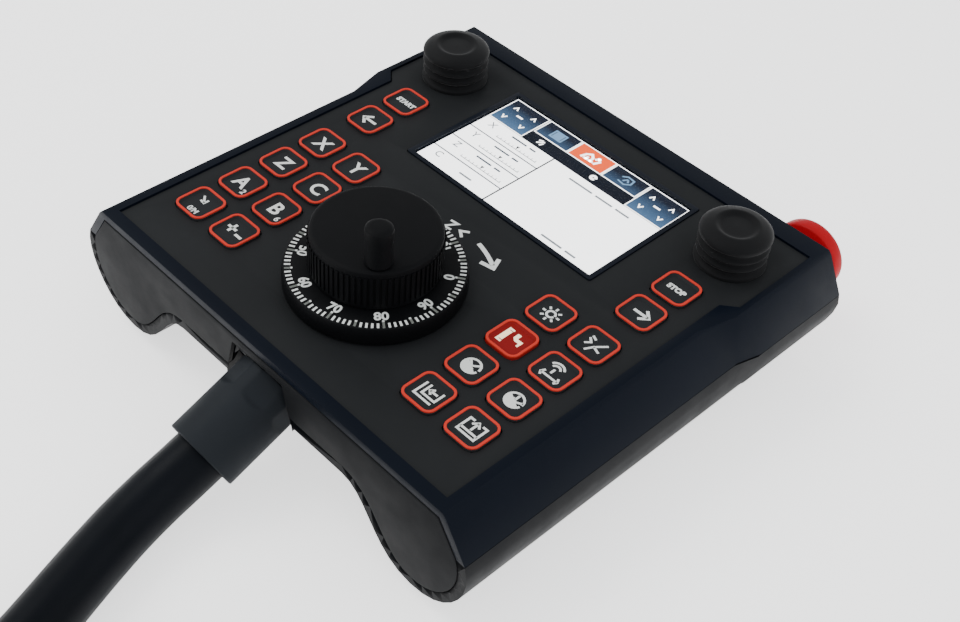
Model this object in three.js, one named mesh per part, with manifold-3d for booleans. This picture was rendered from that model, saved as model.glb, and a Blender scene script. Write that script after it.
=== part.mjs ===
// Hand-held pendant control station: clamshell housing with two grip lobes, key panel,
// display, scaled handwheel, two thumb joysticks, emergency stop, inclined cable gland and cable.
// Millimetres. +X to the right across the panel, +Y along the panel away from the cable,
// +Z out of the panel. Sizes are given from the panel face (z = 0) and the lowest key row (y = 0);
// one group then sets the station on its feet with the origin under the middle of its box.
import * as THREE from 'three';
import { mergeVertices } from 'three/addons/utils/BufferGeometryUtils.js';
import Module from 'manifold-3d';

const wasm = await Module();
wasm.setup();

// ---------- driving dimensions ----------
const GAP = 0.3;              // clearance between neighbouring pieces
const WALL = 3;               // housing wall
const FOOT_DROP = 5.5;        // how far the feet stand below the lobes
const ORIGIN_Y = 66.5;        // middle of the station's box, from the lowest key row

const RIM_Z = 0.8;            // housing rim above the panel face
const RIM_X = 96.9;           // half width of the rim beside the keys
const SHOULDER_X = 101.3;     // half width of the rim beside the joysticks
const SIDE_SPREAD = 10;       // how far the sides lean out between rim and split line
const SHOULDER_SPREAD = 8.4;  // the same beside the joysticks
const SPLIT_Z = -16;          // split line between the two housing halves
const NEAR_Y = -31.7;         // cable end of the housing
const FAR_Y = 169;            // emergency-stop end of the housing
const SHOULDER_Y = 98;        // where the shoulder starts to widen
const SHOULDER_RUN = 17;      // length of its slanted face

const LOBE_X = 82.5;          // middle of a grip lobe
const LOBE_Z = -50.5;         // bottom of a grip lobe
const CHANNEL_X = 46;         // half width of the flat underside between the lobes
const CHANNEL_Z = -24.5;      // flat underside
const LOBE_BULGE_X = 112;     // curve handles of a lobe's outer and inner sides
const LOBE_BULGE_Z = -28;
const LOBE_OUTER_X = 102;
const LOBE_INNER_X = 62;
const CHANNEL_BEND_X = 60;

// Shoulder cheek on the rear half: steps outwards from the shoulder's side, with their heights.
const CHEEK = [[0.7, -20.5], [-0.3, -26], [-2.3, -31.5], [-5, -31]];
const CHEEK_LAP = 4;          // how far the cheek reaches into the wall

const PANEL_X = 91.3;         // half width of the control panel beside the keys
const PANEL_WIDE_X = 97.1;    // half width beside the joysticks
const PANEL_Y0 = -26;
const PANEL_STEP_Y = 114.5;
const PANEL_Y1 = 159.5;
const PANEL_THICK = 3;
const LEDGE = 4;              // width of the ledge that the panel lies on
const LEDGE_THICK = 2.7;
const RIM_BEVEL = 1.5;        // bevel along the housing's upper rim
const END_WALL = 4.3;         // wall behind the end plate
const END_POCKET = 2.3;       // depth of the pocket that takes the end plate
const END_PLATE_THICK = 2;
const END_PLATE_TOP = -2.8;   // upper edge of the end plate
const END_BOSS_X = 22;        // half width of the thick part around the gland, upper half
const REAR_BOSS_X = 19;       // the same in the rear half
const REAR_BOSS_Z = -39;
const REAR_BOSS_LENGTH = 30;
const REAR_BOSS_SLOPE = THREE.MathUtils.degToRad(38);

const KEY_SIZE = 15.8;
const KEY_CORNER = 3;
const KEY_FLANGE = 1.4;       // lip under the panel, each side
const KEY_RISE = 1.0;         // key top above the panel
const KEY_TRAVEL = 0.8;
const KEY_LIP = 1.2;          // thickness of the lip
const KEY_STEM_R = 2;
const KEY_ARC = 1;            // steps along a key's corner
const KEY_SPACE = 1.4;        // between the lips of neighbouring keys
const KEY_PITCH = KEY_SIZE + 2 * KEY_FLANGE + KEY_SPACE;
const KEY_GROUP_STEP = 5.6;   // extra space between the lower keys and the upper pair
const OUTER_KEY_X = 75.6;
const INNER_KEY_X = OUTER_KEY_X - KEY_PITCH - 1.2;
const INNER_ROWS = [0, 1, 2, 3].map((row) => row * KEY_PITCH);
const UPPER_ROWS = [4, 5].map((row) => row * KEY_PITCH + KEY_GROUP_STEP);
const OUTER_ROWS = [...INNER_ROWS, ...UPPER_ROWS];

const SCREEN_Y = 116.6;
const SCREEN_W = 98;
const SCREEN_H = 60.8;
const BEZEL_W = 2;
const BEZEL_RISE = 0.5;
const BEZEL_CORNER = 1;
const WINDOW_THICK = 2;
const WINDOW_RISE = 0.2;
const MODULE_X = 53;          // half width of the display module
const MODULE_Y = 35;          // half height

const BOARD_Z = -10.4;        // top of the main board
const BOARD_THICK = 1.6;
const BOARD_X = 88;
const BOARD_Y0 = -8;
const BOARD_Y1 = 152;

const WHEEL_Y = 23.1;
const DIAL_R = 34.3;
const DIAL_TOP = 8.45;
const DIAL_LIFT = 0.6;        // air under the dial
const DIAL_SKIRT = 1.5;       // straight part of the dial's edge
const DIAL_DRAFT = 0.9;       // how far the dial draws in towards its top
const KNOB_R = 24.9;
const KNOB_TOP = 25.9;
const KNOB_EDGE = 0.8;        // chamfer of the knob's edge
const SHAFT_END = 2;          // how far the shaft stops above the encoder's bottom
const SHAFT_CLEARANCE = 2;    // air around the shaft in the panel
const SHAFT_R = 4;
const ENCODER_R = 20.5;
const ENCODER_DEPTH = 15.6;
const PEG_X = 14.3;
const PEG_Y = -11.5;          // from the wheel's axis
const PEG_R = 5.3;
const PEG_TOP = 42.4;
const PEG_PIN_R = 1.8;
const PEG_CROWN = 3;          // solid end of the peg, above its bore

const BASE_R = 15;
const STICK_X = 77.1;
const STICK_Y = 135.6;
const PIVOT_Z = -9;           // joystick gimbal centre
const STICK_R = 3.5;
const STICK_PIN_R = 1.5;
const BOOT_R = 14.25;
const CAP_R = 14.3;
const CAP_Z = 12.6;           // lower edge of the cap
const CAP_TOP = 16.9;
const CAP_DISH_R = 8.4;
const STICK_HOLE_R = 11.5;
const BASE_DEPTH = 16;
const BASE_WALL = 2.3;
const BASE_FLOOR = 2;
const STICK_TAIL = 6;         // stick below the gimbal centre
const GIMBAL_IN = 6.5;
const GIMBAL_OUT = 9.5;
const GIMBAL_H = 5;
// Cap and bellows profiles: fold radii and where they lie between the panel and the cap.
const CAP_PROFILE = [[CAP_R - 1.5, CAP_Z], [CAP_R, CAP_Z + 0.6], [CAP_R - 0.8, CAP_Z + 2.2],
  [CAP_DISH_R + 1, CAP_TOP], [CAP_DISH_R - 1, CAP_TOP], [CAP_DISH_R - 2.2, CAP_TOP - 1],
  [0, CAP_TOP - 1.4]];
const BOOT_SKIN = 1.1;
const BOOT_VALLEY_R = 12.4;
const BOOT_FOLDS = [[0, BOOT_R], [0.12, BOOT_R], [0.24, BOOT_VALLEY_R], [0.4, 13.9],
  [0.54, BOOT_VALLEY_R], [0.7, 14], [0.85, BOOT_VALLEY_R], [1, 12.6]];

const STOP_X = 81;
const STOP_Z = -26.8;
const STOP_R = 15.8;
const STOP_SHAFT_R = 5.2;
const STOP_BARREL_R = 8;
const STOP_COLLAR_R = 12;
const STOP_COLLAR_L = 9.7;
const STOP_TRAVEL = 4;
const STOP_HEAD_L = 13.4;     // underside to crown
const STOP_BARREL_L = 12;     // barrel inside the housing
const STOP_SHAFT_IN = 16;     // plunger inside the housing
const STOP_BOND = 6.7;        // plunger inside the head
const STOP_BLOCK_X = 12;      // half sizes of the contact block
const STOP_BLOCK_Z = 6.5;
const STOP_BLOCK_BACK = 34;   // its far side, from the housing's end
const STOP_UNDER = STOP_COLLAR_L + GAP + STOP_TRAVEL + GAP;   // underside of the head

const GLAND_TILT = THREE.MathUtils.degToRad(23);
const GLAND_Z = -24.5;        // gland axis where it meets y = GLAND_Y
const GLAND_Y = -31;
const CABLE_R = 11.15;
const GLAND_BODY_R = CABLE_R + 1.95;
const NUT_R = GLAND_BODY_R + 1.7;
const NUT_FLATS = 2 * NUT_R - 1.9;   // across flats
const NUT_BACK = -6.5;        // along the gland axis, outwards positive
const NUT_FLAT_END = 4.5;
const NUT_FRONT = 29.5;
const NUT_LIP = 5;            // clamping lip at the nut's mouth
const NUT_CHAMFER = 0.6;
const GLAND_BODY_IN = -13;    // gland body along its axis
const GLAND_BODY_OUT = 8;
const MOUTH_PLAY = 0.45;      // cable's play in the gland
// Pocket around the gland: half widths at its lower and upper edge, and those edges.
const POCKET_WIDE = [NUT_R + 9.2, -NUT_R - 5.2];
const POCKET_NARROW = [NUT_R - 0.8, NUT_R + 2];
const CABLE_START = 24;       // the cable's first point on the gland axis

const FOOT_R = 10;
const FOOT_POCKET = 4;        // depth of a foot's pocket in the lobe
const FOOT_YS = [6, 142];
const SCREW_X = 38;
const SCREW_YS = [-24.5, 162.5];
const SCREW_HEAD_R = 4;
const SCREW_R = 1.9;
const POST_R = 4.2;
const REAR_POST_R = SCREW_HEAD_R + 1.8;
const SCREW_HEAD_SINK = 0.3;  // head below the flat underside
const SCREW_HEAD_L = 2.4;
const SCREW_SEAT = 3;         // depth of the head's seat
const SCREW_REACH = 6;        // thread above the split line

// Free cable on the floor: places that it passes through, from the gland towards the coil.
// Unlike the sizes above, these and the coil's are given from the finished object's origin.
const CABLE_Z = CABLE_R + 0.15;   // middle of the cable where it lies on the floor
const CABLE_ROUTE = [
  [0, -139, CABLE_Z + 3.7], [1.5, -154, CABLE_Z + 0.8], [5.6, -167.3, CABLE_Z],
  [10.4, -181.5, CABLE_Z], [17.5, -199.5, CABLE_Z], [21, -209.5, CABLE_Z], [25.4, -223.3, CABLE_Z],
];
const COIL_X = 155;
const COIL_Y = -291.5;
const COIL_INNER_R = 88.6;
const COIL_OUTER_R = 134.0;
const COIL_Z0 = 1.4;
const COIL_HEIGHT = 45.4;
const COIL_ROUND = 8;         // rounding of the bundle's section
const COIL_CHAMFER = 2.4;     // mid point of that rounding, from the section's sides
const STRAP_SLACK = 0.8;
const STRAP_ANGLE = THREE.MathUtils.degToRad(60);
const STRAP_WIDTH = 16;
const STRAP_THICK = 1;
const PLUG_X = 144.3;          // where the cable enters the connector, on top of the coil
const PLUG_Y = -389.9;
const PLUG_HEADING = THREE.MathUtils.degToRad(10);
const PLUG_R = 18;
const PLUG_LENGTH = 78;
const PLUG_NUT_R = 16.5;
const PLUG_NUT_LENGTH = 24;
const PLUG_WALL = 1.6;
const PLUG_MOUTH = 14;        // depth of the connector's mouth

// ---------- colours ----------
const material = (color, roughness, metalness = 0) =>
  new THREE.MeshStandardMaterial({ color, roughness, metalness });
const NAVY = material(0x0d141e, 0.45);
const REAR_GREY = material(0x2a2a2c, 0.6);
const PANEL_GREY = material(0x25272a, 0.55);
const BLACK = material(0x101214, 0.6);
const RUBBER = material(0x0e0f11, 0.8);
const RED = material(0xc3242c, 0.35);
const GLASS = material(0xdfe8ee, 0.1);
const STEEL = material(0x9a9da1, 0.35, 1);
const BOARD_GREEN = material(0x1f5a3a, 0.6);

// ---------- shape helpers ----------
const TINY = 1e-4;

function solidOf(geometry) {
  let g = geometry.clone();
  g.deleteAttribute('normal');
  g.deleteAttribute('uv');
  g = mergeVertices(g, TINY);
  const index = g.index.array;
  const position = g.attributes.position.array;
  const triVerts = new Uint32Array(index);
  return new wasm.Manifold(new wasm.Mesh({
    numProp: 3, vertProperties: new Float32Array(position), triVerts,
  }));
}

function geometryOf(solid) {
  const mesh = solid.getMesh();
  const g = new THREE.BufferGeometry();
  g.setAttribute('position', new THREE.BufferAttribute(mesh.vertProperties, 3));
  g.setIndex(new THREE.BufferAttribute(mesh.triVerts, 1));
  g.computeVertexNormals();
  return g;
}

function join(...parts) {
  return geometryOf(parts.map(solidOf).reduce((a, b) => a.add(b)));
}

function cut(base, ...tools) {
  return geometryOf(tools.map(solidOf).reduce((a, b) => a.subtract(b), solidOf(base)));
}

// A flat plate: a shape in X and Y between two heights.
function plate(shape, z0, z1, curveSegments = 4) {
  const g = new THREE.ExtrudeGeometry(shape, { depth: z1 - z0, bevelEnabled: false, curveSegments });
  return g.translate(0, 0, z0);
}

// A bar along Y: a shape in X and Z between two y values.
function bar(shape, y0, y1, curveSegments = 8) {
  const g = new THREE.ExtrudeGeometry(shape, { depth: y1 - y0, bevelEnabled: false, curveSegments });
  return g.rotateX(Math.PI / 2).translate(0, y1, 0);
}

function block(x0, x1, y0, y1, z0, z1) {
  const g = new THREE.BoxGeometry(x1 - x0, y1 - y0, z1 - z0);
  return g.translate((x0 + x1) / 2, (y0 + y1) / 2, (z0 + z1) / 2);
}

// A turned piece about Z from [radius, z] points.
function turned(points, segments = 32) {
  const g = new THREE.LatheGeometry(points.map(([r, z]) => new THREE.Vector2(r, z)), segments);
  return g.rotateX(Math.PI / 2);
}

// A closed ring profile: an outside radius and an inside radius between two heights.
function ring(inner, outer, z0, z1, segments = 32) {
  return turned([[inner, z0], [outer, z0], [outer, z1], [inner, z1], [inner, z0]], segments);
}

function rod(radius, z0, z1, segments = 24) {
  return turned([[0, z0], [radius, z0], [radius, z1], [0, z1]], segments);
}

function roundedRect(width, height, radius, x = 0, y = 0, path = new THREE.Shape()) {
  const a = width / 2 - radius;
  const b = height / 2 - radius;
  path.moveTo(x + a + radius, y - b);
  path.lineTo(x + a + radius, y + b);
  path.absarc(x + a, y + b, radius, 0, Math.PI / 2, false);
  path.lineTo(x - a, y + b + radius);
  path.absarc(x - a, y + b, radius, Math.PI / 2, Math.PI, false);
  path.lineTo(x - a - radius, y - b);
  path.absarc(x - a, y - b, radius, Math.PI, 1.5 * Math.PI, false);
  path.lineTo(x + a, y - b - radius);
  path.absarc(x + a, y - b, radius, 1.5 * Math.PI, 2 * Math.PI, false);
  path.closePath();
  return path;
}

function polygon(points) {
  return new THREE.Shape(points.map(([x, y]) => new THREE.Vector2(x, y)));
}

// One piece at each of the four corners (-x and +x at each of the y values).
function atCorners(x, ys, make) {
  return ys.flatMap((y) => [-x, x].map((px) => make().translate(px, y, 0)));
}

const station = new THREE.Group();
station.position.set(0, -ORIGIN_Y, FOOT_DROP - LOBE_Z);
const floorPieces = new THREE.Group();

function add(name, geometry, look, parent = station) {
  const mesh = new THREE.Mesh(geometry, look);
  mesh.name = name;
  parent.add(mesh);
  return mesh;
}

// ---------- housing ----------
// Sides of one section of the upper shell, between the rim and the split line.
function upperSection(rimX, spread, inset = 0) {
  const top = RIM_Z - inset;
  return polygon([
    [-rimX - spread + inset, SPLIT_Z], [rimX + spread - inset, SPLIT_Z],
    [rimX - inset, RIM_Z - RIM_BEVEL - inset], [rimX - RIM_BEVEL - inset, top],
    [-rimX + RIM_BEVEL + inset, top], [-rimX + inset, RIM_Z - RIM_BEVEL - inset],
  ]);
}

// The underside's curve from left to right: a grip lobe, the flat channel and the other lobe.
function lobeCurves(s, inset, bottom, flat, end) {
  const bulge = LOBE_BULGE_X - inset;
  const outer = LOBE_OUTER_X - inset;
  const inner = LOBE_INNER_X + inset;
  const bend = CHANNEL_BEND_X + inset;
  s.bezierCurveTo(-bulge, LOBE_BULGE_Z, -outer, bottom, -LOBE_X, bottom);
  s.bezierCurveTo(-inner, bottom, -bend, flat, -CHANNEL_X, flat);
  s.lineTo(CHANNEL_X, flat);
  s.bezierCurveTo(bend, flat, inner, bottom, LOBE_X, bottom);
  s.bezierCurveTo(outer, bottom, bulge, LOBE_BULGE_Z, ...end);
}

// The lower shell's section: two grip lobes with a flat channel between them.
function lowerSection(inset = 0) {
  const top = SPLIT_Z - GAP;
  const edge = RIM_X + SIDE_SPREAD - inset;
  const bottom = LOBE_Z + inset;
  const flat = CHANNEL_Z + inset;
  const s = new THREE.Shape();
  s.moveTo(-edge, top);
  lobeCurves(s, inset, bottom, flat, [edge, top]);
  s.closePath();
  return s;
}

// The panel widens beside the joysticks over a short slanted step.
function panelOutline(grow = 0) {
  const slim = PANEL_X + grow;
  const wide = PANEL_WIDE_X + grow;
  const stepStart = PANEL_STEP_Y - grow - 3;
  const stepEnd = PANEL_STEP_Y - grow + 2;
  return polygon([
    [-slim, PANEL_Y0 - grow], [slim, PANEL_Y0 - grow], [slim, stepStart], [wide, stepEnd],
    [wide, PANEL_Y1 + grow], [-wide, PANEL_Y1 + grow], [-wide, stepEnd], [-slim, stepStart],
  ]);
}

// The end plate's outline: the end section drawn in by a margin.
const PLATE_MARGIN = 4.2;
function endOutline(grow = 0) {
  const m = PLATE_MARGIN - grow;
  const s = new THREE.Shape();
  const top = END_PLATE_TOP + grow;
  s.moveTo(-RIM_X - 1 + m, top);
  s.lineTo(-RIM_X - SIDE_SPREAD + m, SPLIT_Z);
  lobeCurves(s, m, LOBE_Z + m, CHANNEL_Z + m, [RIM_X + SIDE_SPREAD - m, SPLIT_Z]);
  s.lineTo(RIM_X + 1 - m, top);
  s.closePath();
  return s;
}

// Puts a piece drawn along +Z onto the gland's axis, z becoming the distance outwards.
function onGlandAxis(geometry) {
  return geometry.rotateX(Math.PI / 2 + GLAND_TILT).translate(0, GLAND_Y, GLAND_Z);
}

// A wedge that takes the near corner off a shoulder. It leans with the housing's side and its
// slanted face sweeps towards +Y as it goes down. It reaches a little under the side's surface,
// so nothing of the shoulder is left before the slanted face.
function shoulderCorner(side, startX, lean) {
  const sweep = -0.5;
  const reach = 40;
  const under = 2 * RIM_BEVEL;
  const widen = SHOULDER_X - RIM_X;
  const y0 = SHOULDER_Y - reach;
  const y1 = SHOULDER_Y + SHOULDER_RUN;
  const start = [startX - under, SHOULDER_Y - under * SHOULDER_RUN / widen];
  const outline = [[start[0], y0], [startX + reach, y0], [startX + reach, y1], [startX + widen, y1],
    start].map(([x, y]) => [side * x, y]);
  const shear = new THREE.Matrix4().set(
    1, 0, side * lean, 0,
    0, 1, sweep, 0,
    0, 0, 1, 0,
    0, 0, 0, 1);
  return plate(polygon(outline), LOBE_Z, RIM_Z + 2).applyMatrix4(shear);
}

// The wedge-shaped pocket around the gland and the hole that the gland body passes through.
function glandPocket() {
  const [wide, low] = POCKET_WIDE;
  const [narrow, high] = POCKET_NARROW;
  const pocket = polygon([[-wide, low], [wide, low], [narrow, high], [-narrow, high]]);
  return onGlandAxis(plate(pocket, NUT_BACK - GAP, NUT_FRONT + 20));
}

function glandHole() {
  return onGlandAxis(rod(GLAND_BODY_R + GAP, -30, 20, 32));
}

function stopHole() {
  return rod(STOP_BARREL_R + GAP, -STOP_BARREL_L, STOP_BARREL_L).rotateX(Math.PI / 2)
    .translate(STOP_X, FAR_Y, STOP_Z);
}

function endPocket() {
  return bar(endOutline(GAP), NEAR_Y - 2, NEAR_Y + END_POCKET);
}

function topHousing() {
  const slimPart = bar(upperSection(RIM_X, SIDE_SPREAD), NEAR_Y, FAR_Y);
  const widePart = cut(bar(upperSection(SHOULDER_X, SHOULDER_SPREAD), SHOULDER_Y - 8, FAR_Y),
    ...[1, -1].map((side) => shoulderCorner(side, RIM_X, -SIDE_SPREAD / (RIM_Z - SPLIT_Z))));
  const cavityTop = -PANEL_THICK - GAP - LEDGE_THICK;
  const cavity = bar(polygon([
    [-RIM_X - SIDE_SPREAD + WALL, SPLIT_Z - 1], [RIM_X + SIDE_SPREAD - WALL, SPLIT_Z - 1],
    [RIM_X - WALL, cavityTop], [-RIM_X + WALL, cavityTop],
  ]), NEAR_Y + END_WALL, FAR_Y - WALL);
  const boss = block(-END_BOSS_X, END_BOSS_X, NEAR_Y + 3, NEAR_Y + 14, SPLIT_Z, cavityTop + 1);
  const posts = atCorners(SCREW_X, SCREW_YS, () => rod(POST_R, SPLIT_Z, cavityTop + 1, 20));
  const holes = atCorners(SCREW_X, SCREW_YS, () => rod(SCREW_R + GAP, SPLIT_Z - 2, cavityTop - 2, 16));
  const opening = panelOutline(-LEDGE);
  const recess = plate(panelOutline(GAP), -PANEL_THICK - GAP, RIM_Z + 5);
  const shell = cut(join(slimPart, widePart), cavity);
  return cut(join(shell, boss, ...posts), recess, plate(opening, SPLIT_Z - 2, RIM_Z + 1),
    endPocket(), glandPocket(), glandHole(), ...holes);
}

function rearHousing() {
  const top = SPLIT_Z - GAP;
  const inside = RIM_X + SIDE_SPREAD - WALL;
  const shell = cut(bar(lowerSection(), NEAR_Y, FAR_Y, 9),
    bar(lowerSection(WALL), NEAR_Y + END_WALL, FAR_Y - WALL, 9),
    block(-inside, inside, NEAR_Y + END_WALL, FAR_Y - WALL, top - 1, top + 1));
  const cheeks = [1, -1].map((side) => {
    const x = SHOULDER_X + SHOULDER_SPREAD;
    const section = [[-CHEEK_LAP, top], [0, top], ...CHEEK].map(([out, z]) => [side * (x + out), z]);
    const cheek = bar(polygon(section), SHOULDER_Y - SPLIT_Z / 2, FAR_Y);
    return cut(cheek, shoulderCorner(side, RIM_X + SIDE_SPREAD, 0));
  });
  const boss = block(-REAR_BOSS_X, REAR_BOSS_X, NEAR_Y, NEAR_Y + REAR_BOSS_LENGTH, REAR_BOSS_Z, top);
  const bossSlope = block(-REAR_BOSS_X - 1, REAR_BOSS_X + 1, -REAR_BOSS_LENGTH, REAR_BOSS_LENGTH,
    -REAR_BOSS_LENGTH, 0).rotateX(REAR_BOSS_SLOPE).translate(0, 6, REAR_BOSS_Z + 1);
  const posts = atCorners(SCREW_X, SCREW_YS, () => rod(REAR_POST_R, CHANNEL_Z + 1, top, 20));
  const holes = [
    ...atCorners(SCREW_X, SCREW_YS, () => rod(SCREW_R + GAP, CHANNEL_Z - 2, top + 2, 16)),
    ...atCorners(SCREW_X, SCREW_YS,
      () => rod(SCREW_HEAD_R + GAP, CHANNEL_Z - 2, CHANNEL_Z + SCREW_SEAT, 24)),
  ];
  const padTop = LOBE_Z + FOOT_POCKET + WALL;
  const pads = atCorners(LOBE_X, FOOT_YS, () => rod(FOOT_R + WALL, LOBE_Z + WALL - 1, padTop, 24));
  const pockets = atCorners(LOBE_X, FOOT_YS,
    () => rod(FOOT_R + GAP, LOBE_Z - 5, LOBE_Z + FOOT_POCKET, 28));
  const splitCut = block(-120, 120, NEAR_Y - 5, FAR_Y + 5, top, 10);
  const body = join(shell, ...cheeks, cut(boss, bossSlope), ...posts, ...pads);
  return cut(body, endPocket(), glandPocket(), glandHole(), stopHole(), ...holes, ...pockets,
    splitCut);
}

function endPlate() {
  const outside = NEAR_Y - GAP;
  return cut(bar(endOutline(), outside, outside + END_PLATE_THICK, 12), glandPocket(), glandHole());
}

add('top_housing', topHousing(), NAVY);
add('rear_housing', rearHousing(), REAR_GREY);
add('end_plate', endPlate(), REAR_GREY);

// ---------- control panel, display and boards ----------
const keyPlaces = [];
for (const [side, sign] of [['left', -1], ['right', 1]]) {
  OUTER_ROWS.forEach((y, i) => keyPlaces.push([`key_${side}_outer_${i + 1}`, sign * OUTER_KEY_X, y]));
  INNER_ROWS.forEach((y, i) => keyPlaces.push([`key_${side}_inner_${i + 1}`, sign * INNER_KEY_X, y]));
}

function controlPanel() {
  const outline = panelOutline();
  const bezelW = SCREEN_W + 2 * BEZEL_W;
  const bezelH = SCREEN_H + 2 * BEZEL_W;
  for (const [, x, y] of keyPlaces) {
    const size = KEY_SIZE + 2 * GAP;
    outline.holes.push(roundedRect(size, size, KEY_CORNER + GAP, x, y, new THREE.Path()));
  }
  outline.holes.push(roundedRect(bezelW + 2 * GAP, bezelH + 2 * GAP, BEZEL_CORNER, 0, SCREEN_Y,
    new THREE.Path()));
  const round = [rod(SHAFT_R + SHAFT_CLEARANCE, -PANEL_THICK - 1, 1, 24).translate(0, WHEEL_Y, 0)];
  for (const sign of [-1, 1]) {
    round.push(rod(STICK_HOLE_R, -PANEL_THICK - 1, 1, 28).translate(sign * STICK_X, STICK_Y, 0));
  }
  return cut(plate(outline, -PANEL_THICK, 0, KEY_ARC), ...round);
}

function displayBezel() {
  const shape = roundedRect(SCREEN_W + 2 * BEZEL_W, SCREEN_H + 2 * BEZEL_W, BEZEL_CORNER, 0, SCREEN_Y);
  shape.holes.push(roundedRect(SCREEN_W, SCREEN_H, BEZEL_CORNER / 2, 0, SCREEN_Y, new THREE.Path()));
  return plate(shape, -PANEL_THICK, BEZEL_RISE, 2);
}

function displayWindow() {
  const shape = roundedRect(SCREEN_W - 2 * GAP, SCREEN_H - 2 * GAP, BEZEL_CORNER / 2, 0, SCREEN_Y);
  return plate(shape, WINDOW_RISE - WINDOW_THICK, WINDOW_RISE, 2);
}

function displayModule() {
  const top = -PANEL_THICK - 2 * GAP - 0.1;
  return block(-MODULE_X, MODULE_X, SCREEN_Y - MODULE_Y, SCREEN_Y + MODULE_Y, BOARD_Z + 1, top);
}

// The board is notched beside the joysticks and open around the encoder.
function mainBoard() {
  const z0 = BOARD_Z - BOARD_THICK;
  const board = block(-BOARD_X, BOARD_X, BOARD_Y0, BOARD_Y1, z0, BOARD_Z);
  const gaps = [rod(ENCODER_R + 1, z0 - 1, BOARD_Z + 1, 32).translate(0, WHEEL_Y, 0)];
  const notchX = STICK_X - BASE_R - 1;
  const notchY = STICK_Y - BASE_R - 1;
  for (const [x0, x1] of [[-BOARD_X - 1, -notchX], [notchX, BOARD_X + 1]]) {
    gaps.push(block(x0, x1, notchY, BOARD_Y1 + 1, z0 - 1, BOARD_Z + 1));
  }
  return cut(board, ...gaps);
}

function key() {
  const body = plate(roundedRect(KEY_SIZE, KEY_SIZE, KEY_CORNER), -PANEL_THICK - 1, KEY_RISE, KEY_ARC);
  const size = KEY_SIZE + 2 * KEY_FLANGE;
  const lipTop = -PANEL_THICK - GAP;
  const lip = plate(roundedRect(size, size, KEY_CORNER), lipTop - KEY_LIP, lipTop, KEY_ARC);
  const stem = rod(KEY_STEM_R, BOARD_Z + KEY_TRAVEL + GAP, -PANEL_THICK - 1, 8);
  return join(body, lip, stem);
}

add('control_panel', controlPanel(), PANEL_GREY);
add('display_bezel', displayBezel(), NAVY);
add('display_window', displayWindow(), GLASS);
add('display_module', displayModule(), BLACK);
add('main_board', mainBoard(), BOARD_GREEN);
const keyGeometry = key();
for (const [name, x, y] of keyPlaces) add(name, keyGeometry.clone().translate(x, y, 0), BLACK);

// ---------- handwheel ----------
function encoderBody() {
  const top = -PANEL_THICK - GAP;
  return ring(SHAFT_R + GAP, ENCODER_R, top - ENCODER_DEPTH, top, 32);
}

function handwheelDial() {
  const bore = SHAFT_R + GAP;
  return turned([[bore, DIAL_LIFT], [DIAL_R, DIAL_LIFT], [DIAL_R, DIAL_LIFT + DIAL_SKIRT],
    [DIAL_R - DIAL_DRAFT, DIAL_TOP], [bore, DIAL_TOP], [bore, DIAL_LIFT]], 48);
}

function handwheelKnob() {
  const z0 = DIAL_TOP + GAP;
  const shaftEnd = -PANEL_THICK - ENCODER_DEPTH + SHAFT_END;
  const knob = turned([[0, shaftEnd], [SHAFT_R, shaftEnd], [SHAFT_R, z0], [KNOB_R, z0],
    [KNOB_R, KNOB_TOP - KNOB_EDGE], [KNOB_R - KNOB_EDGE, KNOB_TOP], [0, KNOB_TOP]], 48);
  return join(knob, rod(PEG_PIN_R, KNOB_TOP - 2, PEG_TOP - 4, 12).translate(PEG_X, PEG_Y, 0));
}

function crankPeg() {
  const z0 = KNOB_TOP + GAP;
  const bore = PEG_PIN_R + GAP;
  const boreEnd = PEG_TOP - PEG_CROWN;
  return turned([[bore, z0], [PEG_R, z0], [PEG_R - 0.4, PEG_TOP - 0.8], [PEG_R - 1.2, PEG_TOP],
    [0, PEG_TOP], [0, boreEnd], [bore, boreEnd], [bore, z0]], 24).translate(PEG_X, PEG_Y, 0);
}

add('encoder_body', encoderBody().translate(0, WHEEL_Y, 0), STEEL);
add('handwheel_dial', handwheelDial().translate(0, WHEEL_Y, 0), BLACK);
add('handwheel_knob', handwheelKnob().translate(0, WHEEL_Y, 0), BLACK);
add('crank_peg', crankPeg().translate(0, WHEEL_Y, 0), BLACK);

// ---------- joysticks ----------
function crossRod(radius, length, alongX) {
  const g = rod(radius, -length / 2, length / 2, 12);
  return (alongX ? g.rotateY(Math.PI / 2) : g.rotateX(Math.PI / 2)).translate(0, 0, PIVOT_Z);
}

function joystickBase() {
  const top = -PANEL_THICK - GAP;
  const bottom = top - BASE_DEPTH;
  const inside = BASE_R - BASE_WALL;
  const cup = turned([[0, bottom], [BASE_R, bottom], [BASE_R, top], [inside, top],
    [inside, bottom + BASE_FLOOR], [0, bottom + BASE_FLOOR]], 32);
  return cut(cup, crossRod(STICK_PIN_R + GAP, 4 * BASE_R, true));
}

function joystickGimbal() {
  const body = ring(GIMBAL_IN, GIMBAL_OUT, PIVOT_Z - GIMBAL_H / 2, PIVOT_Z + GIMBAL_H / 2, 28);
  const pins = crossRod(STICK_PIN_R, 2 * BASE_R - 1, true);
  const open = rod(GIMBAL_IN, PIVOT_Z - GIMBAL_H, PIVOT_Z + GIMBAL_H, 28);
  return cut(join(body, cut(pins, open)), crossRod(STICK_PIN_R + GAP, 4 * GIMBAL_OUT, false));
}

function joystickCap() {
  const tail = PIVOT_Z - STICK_TAIL;
  const stick = turned([[0, tail], [STICK_R, tail], [STICK_R, CAP_Z], ...CAP_PROFILE], 32);
  return join(stick, crossRod(STICK_PIN_R, 2 * GIMBAL_OUT - 0.6, false));
}

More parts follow.
